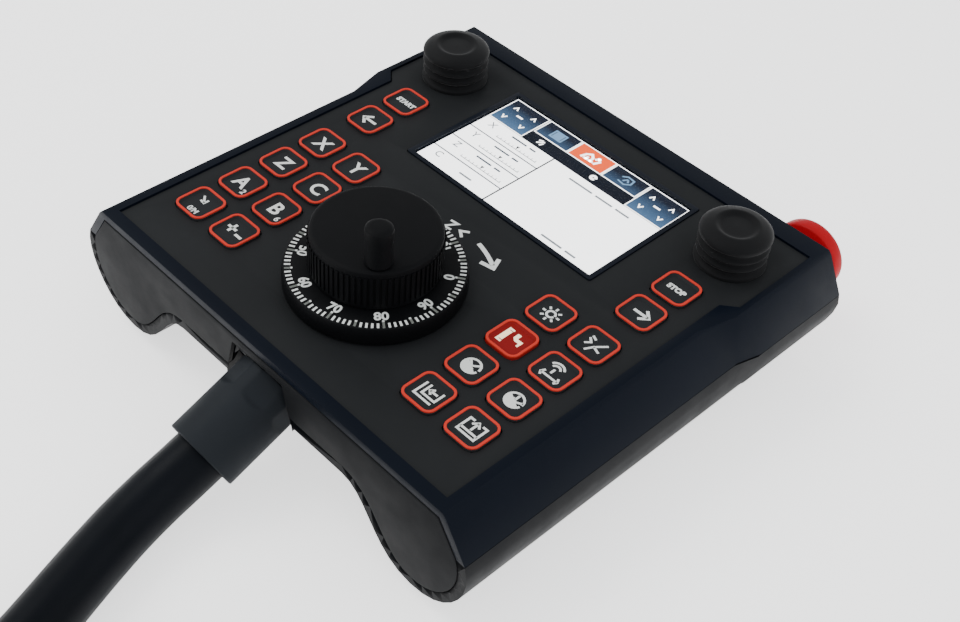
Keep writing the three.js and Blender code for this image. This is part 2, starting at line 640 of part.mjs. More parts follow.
// The bellows: a wavy sleeve between the panel and the cap.
function joystickBoot() {
  const z0 = GAP;
  const z1 = CAP_Z - GAP;
  const waves = BOOT_FOLDS.map(([t, r]) => [r, z0 + t * (z1 - z0)]);
  const inside = waves.map(([r, z]) => [r - BOOT_SKIN, z]).reverse();
  return turned([...waves, ...inside, waves[0]], 28);
}

for (const [side, sign] of [['left', -1], ['right', 1]]) {
  const x = sign * STICK_X;
  add(`joystick_base_${side}`, joystickBase().translate(x, STICK_Y, 0), STEEL);
  add(`joystick_gimbal_${side}`, joystickGimbal().translate(x, STICK_Y, 0), STEEL);
  add(`joystick_cap_${side}`, joystickCap().translate(x, STICK_Y, 0), BLACK);
  add(`joystick_boot_${side}`, joystickBoot().translate(x, STICK_Y, 0), RUBBER);
}

// ---------- emergency stop ----------
// Drawn along +Z from the housing's far face, then laid along +Y.
function atStop(geometry) {
  return geometry.rotateX(-Math.PI / 2).translate(STOP_X, FAR_Y, STOP_Z);
}

function stopCollar() {
  const bore = STOP_SHAFT_R + GAP;
  return turned([[bore, -STOP_BARREL_L], [STOP_BARREL_R, -STOP_BARREL_L], [STOP_BARREL_R, GAP],
    [STOP_COLLAR_R, GAP], [STOP_COLLAR_R, STOP_COLLAR_L - 1], [STOP_COLLAR_R - 1, STOP_COLLAR_L],
    [bore, STOP_COLLAR_L], [bore, -STOP_BARREL_L]], 32);
}

function stopMushroom() {
  const bore = STOP_SHAFT_R + GAP;
  const crown = STOP_UNDER + STOP_HEAD_L;
  const rim = STOP_UNDER + 4;
  const boreEnd = rim + 3;
  const neck = STOP_R / 2;
  return turned([[bore, STOP_UNDER], [neck, STOP_UNDER], [STOP_R - 1, rim - 0.6], [STOP_R, rim],
    [STOP_R, rim + 4.6], [STOP_R - 1.6, rim + 6.8], [STOP_R - 5.5, crown - 1], [neck - 1, crown - 0.2],
    [0, crown], [0, boreEnd], [bore, boreEnd], [bore, STOP_UNDER]], 32);
}

// The contact block leaves the plunger room for its full travel.
function stopContactBlock() {
  return block(STOP_X - STOP_BLOCK_X, STOP_X + STOP_BLOCK_X, FAR_Y - STOP_BLOCK_BACK,
    FAR_Y - STOP_SHAFT_IN - STOP_TRAVEL - GAP, STOP_Z - STOP_BLOCK_Z, STOP_Z + STOP_BLOCK_Z);
}

add('estop_collar', atStop(stopCollar()), BLACK);
add('estop_plunger', atStop(rod(STOP_SHAFT_R, -STOP_SHAFT_IN, STOP_UNDER + STOP_BOND, 24)), STEEL);
add('estop_mushroom', atStop(stopMushroom()), RED);
add('estop_contact_block', stopContactBlock(), BLACK);

// ---------- cable gland ----------
function glandNut() {
  const mouth = CABLE_R + MOUTH_PLAY;
  const inner = GLAND_BODY_R + GAP;
  const lip = NUT_FRONT - NUT_LIP;
  const nut = turned([[inner, NUT_BACK], [NUT_R, NUT_BACK], [NUT_R, NUT_FRONT - NUT_CHAMFER],
    [NUT_R - NUT_CHAMFER, NUT_FRONT], [mouth, NUT_FRONT], [mouth, lip], [inner, lip],
    [inner, NUT_BACK]], 48);
  const flats = [];
  for (let i = 0; i < 6; i++) {
    const face = block(NUT_FLATS / 2, NUT_R + 2, -NUT_R, NUT_R, NUT_BACK - 1, NUT_FLAT_END);
    flats.push(face.rotateZ((i + 0.5) * Math.PI / 3 + Math.PI / 2));
  }
  return cut(nut, ...flats);
}

function glandBody() {
  return ring(CABLE_R + MOUTH_PLAY, GLAND_BODY_R, GLAND_BODY_IN, GLAND_BODY_OUT, 32);
}

function glandSeal() {
  return ring(CABLE_R + 0.1, GLAND_BODY_R - 0.2, GLAND_BODY_OUT + GAP, NUT_FRONT - NUT_LIP - GAP, 32);
}

add('gland_nut', onGlandAxis(glandNut()), REAR_GREY);
add('gland_body', onGlandAxis(glandBody()), REAR_GREY);
add('gland_seal', onGlandAxis(glandSeal()), RUBBER);

// ---------- screws and feet ----------
function screw() {
  const bottom = CHANNEL_Z + SCREW_HEAD_SINK;
  const neck = bottom + SCREW_HEAD_L;
  const tip = SPLIT_Z + SCREW_REACH;
  return turned([[0, bottom], [SCREW_HEAD_R, bottom], [SCREW_HEAD_R, neck], [SCREW_R, neck],
    [SCREW_R, tip], [0, tip]], 20);
}

function holdingMagnet() {
  const bottom = LOBE_Z - FOOT_DROP;
  const top = LOBE_Z + FOOT_POCKET - GAP;
  return turned([[0, bottom], [FOOT_R - 1, bottom], [FOOT_R, bottom + 1], [FOOT_R, top], [0, top]], 28);
}

atCorners(SCREW_X, SCREW_YS, screw).forEach((g, i) => add(`housing_screw_${i + 1}`, g, STEEL));
atCorners(LOBE_X, FOOT_YS, holdingMagnet).forEach((g, i) => add(`holding_magnet_${i + 1}`, g, RUBBER));

// ---------- cable, coil and connector ----------
function cableLead() {
  const onAxis = (t) => new THREE.Vector3(0, GLAND_Y - t * Math.cos(GLAND_TILT),
    GLAND_Z - t * Math.sin(GLAND_TILT)).add(station.position);
  const points = [onAxis(CABLE_START), onAxis(NUT_FRONT + 1),
    ...CABLE_ROUTE.map(([x, y, z]) => new THREE.Vector3(x, y, z))];
  const path = new THREE.CatmullRomCurve3(points, false, 'centripetal');
  const sides = 12;
  const section = polygon(Array.from({ length: sides }, (_, i) => {
    const a = (i + 0.5) * 2 * Math.PI / sides;
    return [CABLE_R * Math.cos(a), CABLE_R * Math.sin(a)];
  }));
  return new THREE.ExtrudeGeometry(section, { steps: 14, extrudePath: path, bevelEnabled: false });
}

function cableCoil() {
  const z1 = COIL_Z0 + COIL_HEIGHT;
  const r = COIL_ROUND;
  const c = COIL_CHAMFER;
  return turned([[COIL_INNER_R, COIL_Z0 + r], [COIL_INNER_R + c, COIL_Z0 + c], [COIL_INNER_R + r, COIL_Z0],
    [COIL_OUTER_R - r, COIL_Z0], [COIL_OUTER_R - c, COIL_Z0 + c], [COIL_OUTER_R, COIL_Z0 + r],
    [COIL_OUTER_R, z1 - r], [COIL_OUTER_R - c, z1 - c], [COIL_OUTER_R - r, z1], [COIL_INNER_R + r, z1],
    [COIL_INNER_R + c, z1 - c], [COIL_INNER_R, z1 - r], [COIL_INNER_R, COIL_Z0 + r]], 32)
    .translate(COIL_X, COIL_Y, 0);
}

// A flat strap that wraps the bundle of turns.
function coilStrap() {
  const mid = (COIL_INNER_R + COIL_OUTER_R) / 2;
  const w = COIL_OUTER_R - COIL_INNER_R + 2 * GAP + STRAP_SLACK;
  const h = COIL_HEIGHT + 2 * GAP;
  const centre = COIL_Z0 + COIL_HEIGHT / 2;
  const s = roundedRect(w + 2 * STRAP_THICK, h + 2 * STRAP_THICK, 4, mid, centre);
  s.holes.push(roundedRect(w, h, 3, mid, centre, new THREE.Path()));
  return bar(s, -STRAP_WIDTH / 2, STRAP_WIDTH / 2, 3).rotateZ(STRAP_ANGLE).translate(COIL_X, COIL_Y, 0);
}

// The connector lies on top of the coil. It is drawn along +Z from the cable's end.
function onCableEnd(geometry) {
  return geometry.rotateY(Math.PI / 2).rotateZ(PLUG_HEADING)
    .translate(PLUG_X, PLUG_Y, COIL_Z0 + COIL_HEIGHT + PLUG_R + GAP);
}

function connectorNut() {
  return ring(CABLE_R + GAP, PLUG_NUT_R, 0, PLUG_NUT_LENGTH, 28);
}

// The connector's body is solid behind its open mouth.
function connectorShell() {
  const start = PLUG_NUT_LENGTH + GAP;
  const end = PLUG_NUT_LENGTH + PLUG_LENGTH;
  const inside = PLUG_R - PLUG_WALL;
  return turned([[0, start], [PLUG_R, start], [PLUG_R, end], [inside, end], [inside, end - PLUG_MOUTH],
    [0, end - PLUG_MOUTH]], 28);
}

add('cable_lead', cableLead(), BLACK, floorPieces);
add('cable_coil', cableCoil(), BLACK, floorPieces);
add('coil_strap', coilStrap(), RUBBER, floorPieces);
add('connector_nut', onCableEnd(connectorNut()), REAR_GREY, floorPieces);
add('connector_shell', onCableEnd(connectorShell()), STEEL, floorPieces);

const group = new THREE.Group();
group.add(station, floorPieces);
export default group;
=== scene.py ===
"""Looks for a hand-held pendant control station: one operator for each piece or group of like pieces."""

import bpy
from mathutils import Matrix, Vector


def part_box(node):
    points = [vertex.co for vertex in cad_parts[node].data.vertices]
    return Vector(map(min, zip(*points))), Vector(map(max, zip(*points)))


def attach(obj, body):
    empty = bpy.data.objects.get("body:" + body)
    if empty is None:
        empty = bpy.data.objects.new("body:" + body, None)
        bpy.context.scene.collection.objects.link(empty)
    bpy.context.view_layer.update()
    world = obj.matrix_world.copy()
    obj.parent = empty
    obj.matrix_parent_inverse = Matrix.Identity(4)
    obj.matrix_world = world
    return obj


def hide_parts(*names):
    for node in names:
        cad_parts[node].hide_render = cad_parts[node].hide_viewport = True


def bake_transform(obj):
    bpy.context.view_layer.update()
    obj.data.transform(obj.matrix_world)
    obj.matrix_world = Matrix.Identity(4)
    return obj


bl_info = {
    "name": "Pendant control station",
    "version": (1, 0, 0),
    "blender": (4, 5, 0),
    "location": "3D View > Sidebar > Station",
    "description": "Builds the visible pieces of a pendant control station over its packed frame",
    "category": "Object",
}

import math

import bmesh
import bpy
from bpy.props import FloatProperty, FloatVectorProperty, IntProperty, PointerProperty
from mathutils import Matrix, Vector

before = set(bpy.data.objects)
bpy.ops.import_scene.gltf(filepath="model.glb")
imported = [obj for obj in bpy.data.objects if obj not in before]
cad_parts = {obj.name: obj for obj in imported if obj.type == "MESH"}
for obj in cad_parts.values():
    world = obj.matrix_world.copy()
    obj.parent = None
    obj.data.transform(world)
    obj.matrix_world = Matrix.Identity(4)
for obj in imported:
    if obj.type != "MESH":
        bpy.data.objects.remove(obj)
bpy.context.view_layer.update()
bpy.context.view_layer.update()

MM = 0.001
PANEL = Vector((0, -0.0665, 0.056))  # origin of the panel's own frame: its face and its lowest key row


def at(x, y, z=0.0):
    """A point given in millimetres from the panel's origin, in the row frame."""
    return PANEL + Vector((x, y, z)) * MM


def in_mm(points):
    """A profile given in millimetres, as (radius, height) pairs in metres."""
    return [(r * MM, z * MM) for r, z in points]


WHEEL = at(0, 23.1)  # centre of the handwheel on the panel
PEG = WHEEL + Vector((14.3, -11.5, 0)) * MM  # centre of the crank peg on the knob
DIAL_TOP = 8.45  # height of the dial's face over the panel, in millimetres


# ---------- settings ----------
def length(name, text, value, low=0.0):
    return FloatProperty(name=name, description=text, default=value, min=low, unit="LENGTH", precision=5)


def colour(name, text, value):
    return FloatVectorProperty(name=name, description=text, default=value, size=3, min=0, max=1,
                               subtype="COLOR")


class StationFinish(bpy.types.PropertyGroup):
    shell: colour("Shell", "Upper housing half", (0.0022, 0.0040, 0.0085))
    rear: colour("Rear", "Lower housing half", (0.0030, 0.0034, 0.0044))
    end: colour("End plate", "Plate at the cable end", (0.0085, 0.009, 0.0100))
    panel: colour("Panel", "Control panel film", (0.0135, 0.0145, 0.0155))
    black: colour("Black", "Handwheel and joysticks", (0.0034, 0.0036, 0.0042))
    ring: colour("Key ring", "Raised ring on each key", (0.52, 0.035, 0.022))
    print_white: colour("Print", "Printed signs", (0.66, 0.68, 0.66))
    stop_red: colour("Stop", "Emergency-stop head", (0.38, 0.006, 0.011))
    edge_round: length("Edge rounding", "Radius on the housing's edges", 0.0012)


class KeySizes(bpy.types.PropertyGroup):
    size: length("Key", "Width of a key", 0.0158)
    corner: length("Corner", "Radius of a key's corner", 0.0036)
    stroke: length("Ring width", "Width of the raised ring", 0.0010)
    rise: length("Ring height", "Height of the ring above the key's top", 0.0004)
    print_height: length("Print height", "Thickness of a printed sign", 0.00006)


class WheelSizes(bpy.types.PropertyGroup):
    ribs: IntProperty(name="Ribs", description="Grip ribs around the knob", default=72, min=12)
    ticks: IntProperty(name="Ticks", description="Scale lines around the dial", default=100, min=10)
    tick_outer: length("Tick end", "Radius of the outer end of the scale lines", 0.0332)
    number_size: length("Number size", "Height of the dial's numbers", 0.0054)


class CordSizes(bpy.types.PropertyGroup):
    diameter: length("Cable", "Diameter of the cable", 0.0223)
    outer_turn: length("Outer turn", "Radius of the outer turns' centre line", 0.12265)
    inner_turn: length("Inner turn", "Radius of the inner turns' centre line", 0.10035)


GROUPS = {"station_finish": StationFinish, "station_keys": KeySizes, "station_wheel": WheelSizes,
          "station_cord": CordSizes}


# ---------- materials ----------
def node_at(tree, kind, x, y, **inputs):
    node = tree.nodes.new(kind)
    node.location = (x, y)
    for key, value in inputs.items():
        node.inputs[key.replace("_", " ")].default_value = value
    return node


def finish_of(name, base, rough=0.5, grain=900.0, depth=0.00003, vary=0.12, rough_vary=0.06, metal=0.0,
              coat=0.0, sheen=0.0, stretch=(1, 1, 1), spec=0.06):
    """A moulded, painted or turned surface: two scales of colour change, worn gloss and a fine grain."""
    m = bpy.data.materials.get(name)
    if m:
        return m
    m = bpy.data.materials.new(name)
    m.use_nodes = True
    t = m.node_tree
    t.nodes.clear()
    out = node_at(t, "ShaderNodeOutputMaterial", 700, 0)
    bsdf = node_at(t, "ShaderNodeBsdfPrincipled", 400, 0, Metallic=metal, Coat_Weight=coat,
                   Sheen_Weight=sheen,
                   Specular_IOR_Level=spec)
    place = node_at(t, "ShaderNodeTexCoord", -900, 0)
    scale = node_at(t, "ShaderNodeMapping", -720, 0)
    scale.inputs["Scale"].default_value = stretch
    broad = node_at(t, "ShaderNodeTexNoise", -500, 200, Scale=22.0, Detail=4.0, Roughness=0.6)
    fine = node_at(t, "ShaderNodeTexNoise", -500, -200, Scale=grain, Detail=2.0, Roughness=0.5)
    smear = node_at(t, "ShaderNodeTexNoise", -500, 0, Scale=90.0, Detail=5.0, Roughness=0.65)
    ramp = node_at(t, "ShaderNodeValToRGB", -250, 250)
    ramp.color_ramp.elements[0].position = 0.3
    ramp.color_ramp.elements[1].position = 0.72
    ramp.color_ramp.elements[0].color = tuple(c * (1 - vary) for c in base) + (1,)
    ramp.color_ramp.elements[1].color = tuple(min(1, c * (1 + vary)) for c in base) + (1,)
    gloss = node_at(t, "ShaderNodeMapRange", -250, 0)
    gloss.inputs["From Min"].default_value = 0.3
    gloss.inputs["From Max"].default_value = 0.7
    gloss.inputs["To Min"].default_value = max(0.02, rough - rough_vary)
    gloss.inputs["To Max"].default_value = min(1, rough + rough_vary)
    bump = node_at(t, "ShaderNodeBump", 150, -250, Strength=0.6, Distance=depth)
    link = t.links.new
    link(place.outputs["Object"], scale.inputs["Vector"])
    for noise in (broad, fine, smear):
        link(scale.outputs["Vector"], noise.inputs["Vector"])
    link(broad.outputs["Fac"], ramp.inputs["Fac"])
    link(smear.outputs["Fac"], gloss.inputs["Value"])
    link(fine.outputs["Fac"], bump.inputs["Height"])
    link(ramp.outputs["Color"], bsdf.inputs["Base Color"])
    link(gloss.outputs["Result"], bsdf.inputs["Roughness"])
    link(bump.outputs["Normal"], bsdf.inputs["Normal"])
    link(bsdf.outputs["BSDF"], out.inputs["Surface"])
    return m


def lit(name, base, glow=0.0, rough=0.35):
    """A colour on the screen or a key that is lit from behind, or a painted glow on printed signs that are no
    lamp, with a faint unevenness.
    """
    m = finish_of(name, base, rough=rough, grain=1500, depth=0.000004, vary=0.06, rough_vary=0.05)
    bsdf = m.node_tree.nodes["Principled BSDF"]
    bsdf.inputs["Emission Color"].default_value = (*base, 1)
    bsdf.inputs["Emission Strength"].default_value = glow
    return m


def settings():
    return bpy.context.scene.station_finish


def black_plastic():
    return finish_of("satin black plastic", settings().black, rough=0.55, grain=1400, depth=0.00002, vary=0.1,
                     rough_vary=0.05)


def shell_plastic():
    return finish_of("navy moulded shell", settings().shell, rough=0.42, grain=2200, depth=0.000012, vary=0.1)


def rear_plastic():
    return finish_of("dark rear moulding", settings().rear, rough=0.46, grain=2200, depth=0.000012, vary=0.18)


def end_plastic():
    return finish_of("grained end plate", settings().end, rough=0.6, grain=1900, depth=0.00003, vary=0.08)


def panel_film():
    return finish_of("matte panel film", settings().panel, rough=0.5, grain=3200, depth=0.00002, vary=0.1)


# Painted light: the pale print gets a faint glow, though the signs on the panel, keys and dial are no lamp.
def print_ink_with_painted_glow():
    return lit("pale print with painted glow", settings().print_white, 0.1, 0.5)


def black_rubber():
    return finish_of("black bellows rubber", (0.0045, 0.0047, 0.0053), rough=0.56, grain=1100, depth=0.00003,
                     sheen=0.08)


def cable_jacket():
    return finish_of("cable jacket", (0.0032, 0.0042, 0.0062), rough=0.43, grain=1300, depth=0.00003,
                     vary=0.2)


def gland_plastic():
    return finish_of("gland polyamide", (0.0155, 0.018, 0.0215), rough=0.55, grain=1500, depth=0.00003)


def bright_steel():
    return finish_of("zinc-plated steel", (0.42, 0.42, 0.43), rough=0.33, grain=600, depth=0.00002, metal=1.0,
                     spec=0.5)


def nickel():
    return finish_of("nickel-plated brass", (0.5, 0.49, 0.47), rough=0.27, grain=700, depth=0.00001,
                     metal=1.0,
                     spec=0.5)


# ---------- mesh helpers ----------
def linked(name, mesh):
    ob = bpy.data.objects.new(name, mesh)
    bpy.context.scene.collection.objects.link(ob)
    return ob


def from_bmesh(name, bm, look, smooth=35.0):
    bmesh.ops.recalc_face_normals(bm, faces=bm.faces)
    mesh = bpy.data.meshes.new(name)
    bm.to_mesh(mesh)
    bm.free()
    mesh.materials.append(look)
    shade(mesh, smooth)
    return linked(name, mesh)


def shade(mesh, angle=35.0):
    mesh.polygons.foreach_set("use_smooth", [angle > 0] * len(mesh.polygons))
    if angle > 0:
        mesh.set_sharp_from_angle(angle=math.radians(angle))
    mesh.update()


def turned(name, profile, look, steps=64, centre=(0, 0, 0), turn=None, smooth=35.0, scallop=None):
    """A piece turned about Z from a closed profile of (radius, height) points; scallop shapes the radius."""
    bm = bmesh.new()
    rows = []
    for r, z in profile:
        if r < 1e-7:
            rows.append([bm.verts.new((0, 0, z))])
        else:
            row = []
            for i in range(steps):
                a = 2 * math.pi * i / steps
                rr = r if scallop is None else scallop(r, z, a)
                row.append(bm.verts.new((rr * math.cos(a), rr * math.sin(a), z)))
            rows.append(row)
    for a, b in zip(rows, rows[1:] + ([] if len(rows[0]) == 1 else rows[:1])):
        for i in range(steps):
            quad = [a[i % len(a)], a[(i + 1) % len(a)], b[(i + 1) % len(b)], b[i % len(b)]]
            quad = list(dict.fromkeys(quad))
            if len(quad) > 2:
                bm.faces.new(quad)
    if turn is not None:
        bmesh.ops.transform(bm, matrix=turn, verts=bm.verts)
    bmesh.ops.translate(bm, vec=Vector(centre), verts=bm.verts)
    return from_bmesh(name, bm, look, smooth)


def smooth_profile(points, rounds=2):
    """Cuts a profile's corners, keeping its ends, so that a turned piece has soft edges."""
    for _ in range(rounds):
        new = [points[0]]
        for (r0, z0), (r1, z1) in zip(points, points[1:]):
            new.append((0.75 * r0 + 0.25 * r1, 0.75 * z0 + 0.25 * z1))
            new.append((0.25 * r0 + 0.75 * r1, 0.25 * z0 + 0.75 * z1))
        new.append(points[-1])
        points = new
    return points


def rounded_loop(w, h, r, steps=6):
    pts = []
    for cx, cy, a0 in ((w / 2 - r, h / 2 - r, 0), (-w / 2 + r, h / 2 - r, 90), (-w / 2 + r, -h / 2 + r, 180),
                       (w / 2 - r, -h / 2 + r, 270)):
        for i in range(steps + 1):
            a = math.radians(a0 + 90 * i / steps)
            pts.append((cx + r * math.cos(a), cy + r * math.sin(a)))
    return pts


def stack(bm, loops, closed_ring=False):
    """Joins loops of equal point counts into one skin; with closed_ring the last loop meets the first."""
    rows = [[bm.verts.new(p) for p in loop] for loop in loops]
    n = len(rows[0])
    pairs = list(zip(rows, rows[1:])) + ([(rows[-1], rows[0])] if closed_ring else [])
    for a, b in pairs:
        for i in range(n):
            bm.faces.new((a[i], a[(i + 1) % n], b[(i + 1) % n], b[i]))
    if not closed_ring:
        bm.faces.new(rows[0][::-1])
        bm.faces.new(rows[-1])


def refined(node, look, rounding=0.0008, body="housing", name=None, smooth=32.0, slot=None):
    """A copy of a CAD node with its coplanar faces joined and its edges rounded."""
    bm = bmesh.new()
    bm.from_mesh(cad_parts[node].data)
    bmesh.ops.remove_doubles(bm, verts=bm.verts, dist=2e-6)
    bmesh.ops.dissolve_limit(bm, angle_limit=math.radians(0.6), verts=bm.verts, edges=bm.edges)
    if rounding > 0:
        sharp = [e for e in bm.edges if len(e.link_faces) == 2 and e.calc_face_angle(0) > math.radians(28)
                 and e.calc_length() > rounding]
        bmesh.ops.bevel(bm, geom=sharp, offset=rounding, segments=2, profile=0.6, affect="EDGES",
                        clamp_overlap=True)
        bmesh.ops.remove_doubles(bm, verts=bm.verts, dist=2e-6)
    bmesh.ops.triangulate(bm, faces=[f for f in bm.faces if len(f.verts) > 4])
    ob = from_bmesh(name or node + "_finished", bm, look, smooth)
    return placed(ob, body, node, slot=slot)


def placed(ob, body, *nodes, slot=None):
    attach(ob, body)
    if nodes:
        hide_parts(*nodes)
    return ob


def merged(name, objects, smooth=35.0):
    """One object from several, each with its own material kept."""
    bm = bmesh.new()
    looks = []
    for ob in objects:
        part = bmesh.new()
        part.from_mesh(ob.data)
        part.transform(ob.matrix_world)
        for f in part.faces:
            look = ob.data.materials[f.material_index]
            if look not in looks:
                looks.append(look)
            f.material_index = looks.index(look)
        temp = bpy.data.meshes.new("part")
        part.to_mesh(temp)
        part.free()
        bm.from_mesh(temp)
        bpy.data.meshes.remove(temp)
    mesh = bpy.data.meshes.new(name)
    bm.to_mesh(mesh)
    bm.free()
    for look in looks:
        mesh.materials.append(look)
    for ob in objects:
        old = ob.data
        bpy.data.objects.remove(ob)
        if old.users == 0:
            bpy.data.meshes.remove(old)
    shade(mesh, smooth)
    return linked(name, mesh)


# ---------- repeated features as geometry nodes ----------
def ring_group(name):
    """A node group: one block at each point of a circle, lying along the radius."""
    if name in bpy.data.node_groups:
        return bpy.data.node_groups[name]
    g = bpy.data.node_groups.new(name, "GeometryNodeTree")
    face = g.interface
    face.new_socket("Geometry", in_out="OUTPUT", socket_type="NodeSocketGeometry")
    for label, kind in (("Count", "NodeSocketInt"), ("Radius", "NodeSocketFloat"),
                        ("Size", "NodeSocketVector"),
                        ("Height", "NodeSocketFloat"), ("Material", "NodeSocketMaterial")):
        face.new_socket(label, in_out="INPUT", socket_type=kind)
    inp = node_at(g, "NodeGroupInput", -800, 0)
    out = node_at(g, "NodeGroupOutput", 900, 0)
    circle = node_at(g, "GeometryNodeMeshCircle", -550, 100)
    lift = node_at(g, "ShaderNodeCombineXYZ", -550, -150)
    place = node_at(g, "GeometryNodeTransform", -300, 100)
    block = node_at(g, "GeometryNodeMeshCube", -300, -150)
    normal = node_at(g, "GeometryNodeInputPosition", -300, -350)
    flat = node_at(g, "ShaderNodeVectorMath", -120, -350)
    flat.operation = "MULTIPLY"
    flat.inputs[1].default_value = (1, 1, 0)
    turn = node_at(g, "FunctionNodeAlignRotationToVector", 60, -350)
    turn.axis = "X"
    turn.pivot_axis = "Z"
    copies = node_at(g, "GeometryNodeInstanceOnPoints", 250, 50)
    real = node_at(g, "GeometryNodeRealizeInstances", 450, 50)
    paint = node_at(g, "GeometryNodeSetMaterial", 650, 50)
    link = g.links.new
    link(inp.outputs["Count"], circle.inputs["Vertices"])
    link(inp.outputs["Radius"], circle.inputs["Radius"])
    link(inp.outputs["Height"], lift.inputs["Z"])
    link(circle.outputs["Mesh"], place.inputs["Geometry"])
    link(lift.outputs["Vector"], place.inputs["Translation"])
    link(inp.outputs["Size"], block.inputs["Size"])
    link(place.outputs["Geometry"], copies.inputs["Points"])
    link(block.outputs["Mesh"], copies.inputs["Instance"])
    link(normal.outputs["Position"], flat.inputs[0])
    link(flat.outputs["Vector"], turn.inputs["Vector"])
    link(turn.outputs["Rotation"], copies.inputs["Rotation"])
    link(copies.outputs["Instances"], real.inputs["Geometry"])
    link(real.outputs["Geometry"], paint.inputs["Geometry"])
    link(inp.outputs["Material"], paint.inputs["Material"])
    link(paint.outputs["Geometry"], out.inputs["Geometry"])
    return g


def ring_of(name, count, radius, size, height, look, centre):
    group = ring_group("blocks in a ring")
    holder = linked(name, bpy.data.meshes.new(name))
    mod = holder.modifiers.new("ring", "NODES")
    mod.node_group = group
    values = {"Count": count, "Radius": radius, "Size": size, "Height": height, "Material": look}
    for item in group.interface.items_tree:
        if item.in_out == "INPUT" and item.name in values:
            mod[item.identifier] = values[item.name]
    holder.update_tag()
    bpy.context.view_layer.update()
    deps = bpy.context.evaluated_depsgraph_get()
    mesh = bpy.data.meshes.new_from_object(holder.evaluated_get(deps))
    holder.modifiers.remove(mod)
    bpy.data.objects.remove(holder)
    mesh.transform(Matrix.Translation(Vector(centre)))
    if not mesh.materials:
        mesh.materials.append(look)
    return linked(name, mesh)


# ---------- printed signs ----------
def ribbon(bm, points, width, z0, z1, closed=False):
    """A flat stroke along points, as one closed strip with mitred joints."""
    pts = [Vector((p[0], p[1], 0)) for p in points]
    n = len(pts)
    left, right = [], []
    for i, p in enumerate(pts):
        before = pts[i - 1] if i > 0 or closed else None
        after = pts[(i + 1) % n] if i < n - 1 or closed else None
        d0 = (p - before).normalized() if before is not None else None
        d1 = (after - p).normalized() if after is not None else None
        d0, d1 = d0 or d1, d1 or d0
        mid = d0 + d1
        mid = mid.normalized() if mid.length > 1e-6 else d0
        side = Vector((-mid.y, mid.x, 0))
        spread = width / 2 / max(0.35, side.dot(Vector((-d0.y, d0.x, 0))))
        left.append(p + side * spread)
        right.append(p - side * spread)
    rows = [[bm.verts.new((v.x, v.y, z)) for v in edge] for edge, z in
            ((left, z0), (right, z0), (right, z1), (left, z1))]
    count = n if closed else n - 1
    for a, b in zip(rows, rows[1:] + rows[:1]):
        for i in range(count):
            j = (i + 1) % n
            bm.faces.new((a[i], a[j], b[j], b[i]))
    if not closed:
        bm.faces.new([r[0] for r in rows][::-1])
        bm.faces.new([r[-1] for r in rows])


def patch(bm, points, z0, z1):
    low = [bm.verts.new((x, y, z0)) for x, y in points]
    high = [bm.verts.new((x, y, z1)) for x, y in points]
    n = len(points)
    bm.faces.new(low[::-1])
    bm.faces.new(high)
    for i in range(n):
        bm.faces.new((low[i], low[(i + 1) % n], high[(i + 1) % n], high[i]))


def arc(cx, cy, r, a0, a1, steps=14):
    return [(cx + r * math.cos(math.radians(a0 + (a1 - a0) * i / steps)),
             cy + r * math.sin(math.radians(a0 + (a1 - a0) * i / steps))) for i in range(steps + 1)]


def letters(name, text, size, look, centre, depth=0.00006, turn=0.0, bold=0.0):
    """A number or a plain letter as a closed mesh, centred on a point."""
    curve = bpy.data.curves.new(name, "FONT")
    curve.body = text
    curve.size = size
    curve.align_x = "CENTER"
    curve.align_y = "CENTER"
    curve.extrude = depth / 2
    curve.offset = bold
    curve.resolution_u = 4
    holder = linked(name, curve)
    bpy.context.view_layer.update()
    deps = bpy.context.evaluated_depsgraph_get()
    mesh = bpy.data.meshes.new_from_object(holder.evaluated_get(deps))
    bpy.data.objects.remove(holder)
    bpy.data.curves.remove(curve)
    bm = bmesh.new()
    bm.from_mesh(mesh)
    bmesh.ops.remove_doubles(bm, verts=bm.verts, dist=1e-7)
    bmesh.ops.recalc_face_normals(bm, faces=bm.faces)
    bm.transform(Matrix.Translation(Vector(centre) + Vector((0, 0, depth / 2))) @ Matrix.Rotation(turn, 4,
                                                                                                  "Z"))
    bm.to_mesh(mesh)
    bm.free()
    mesh.materials.clear()
    mesh.materials.append(look)
    return linked(name, mesh)


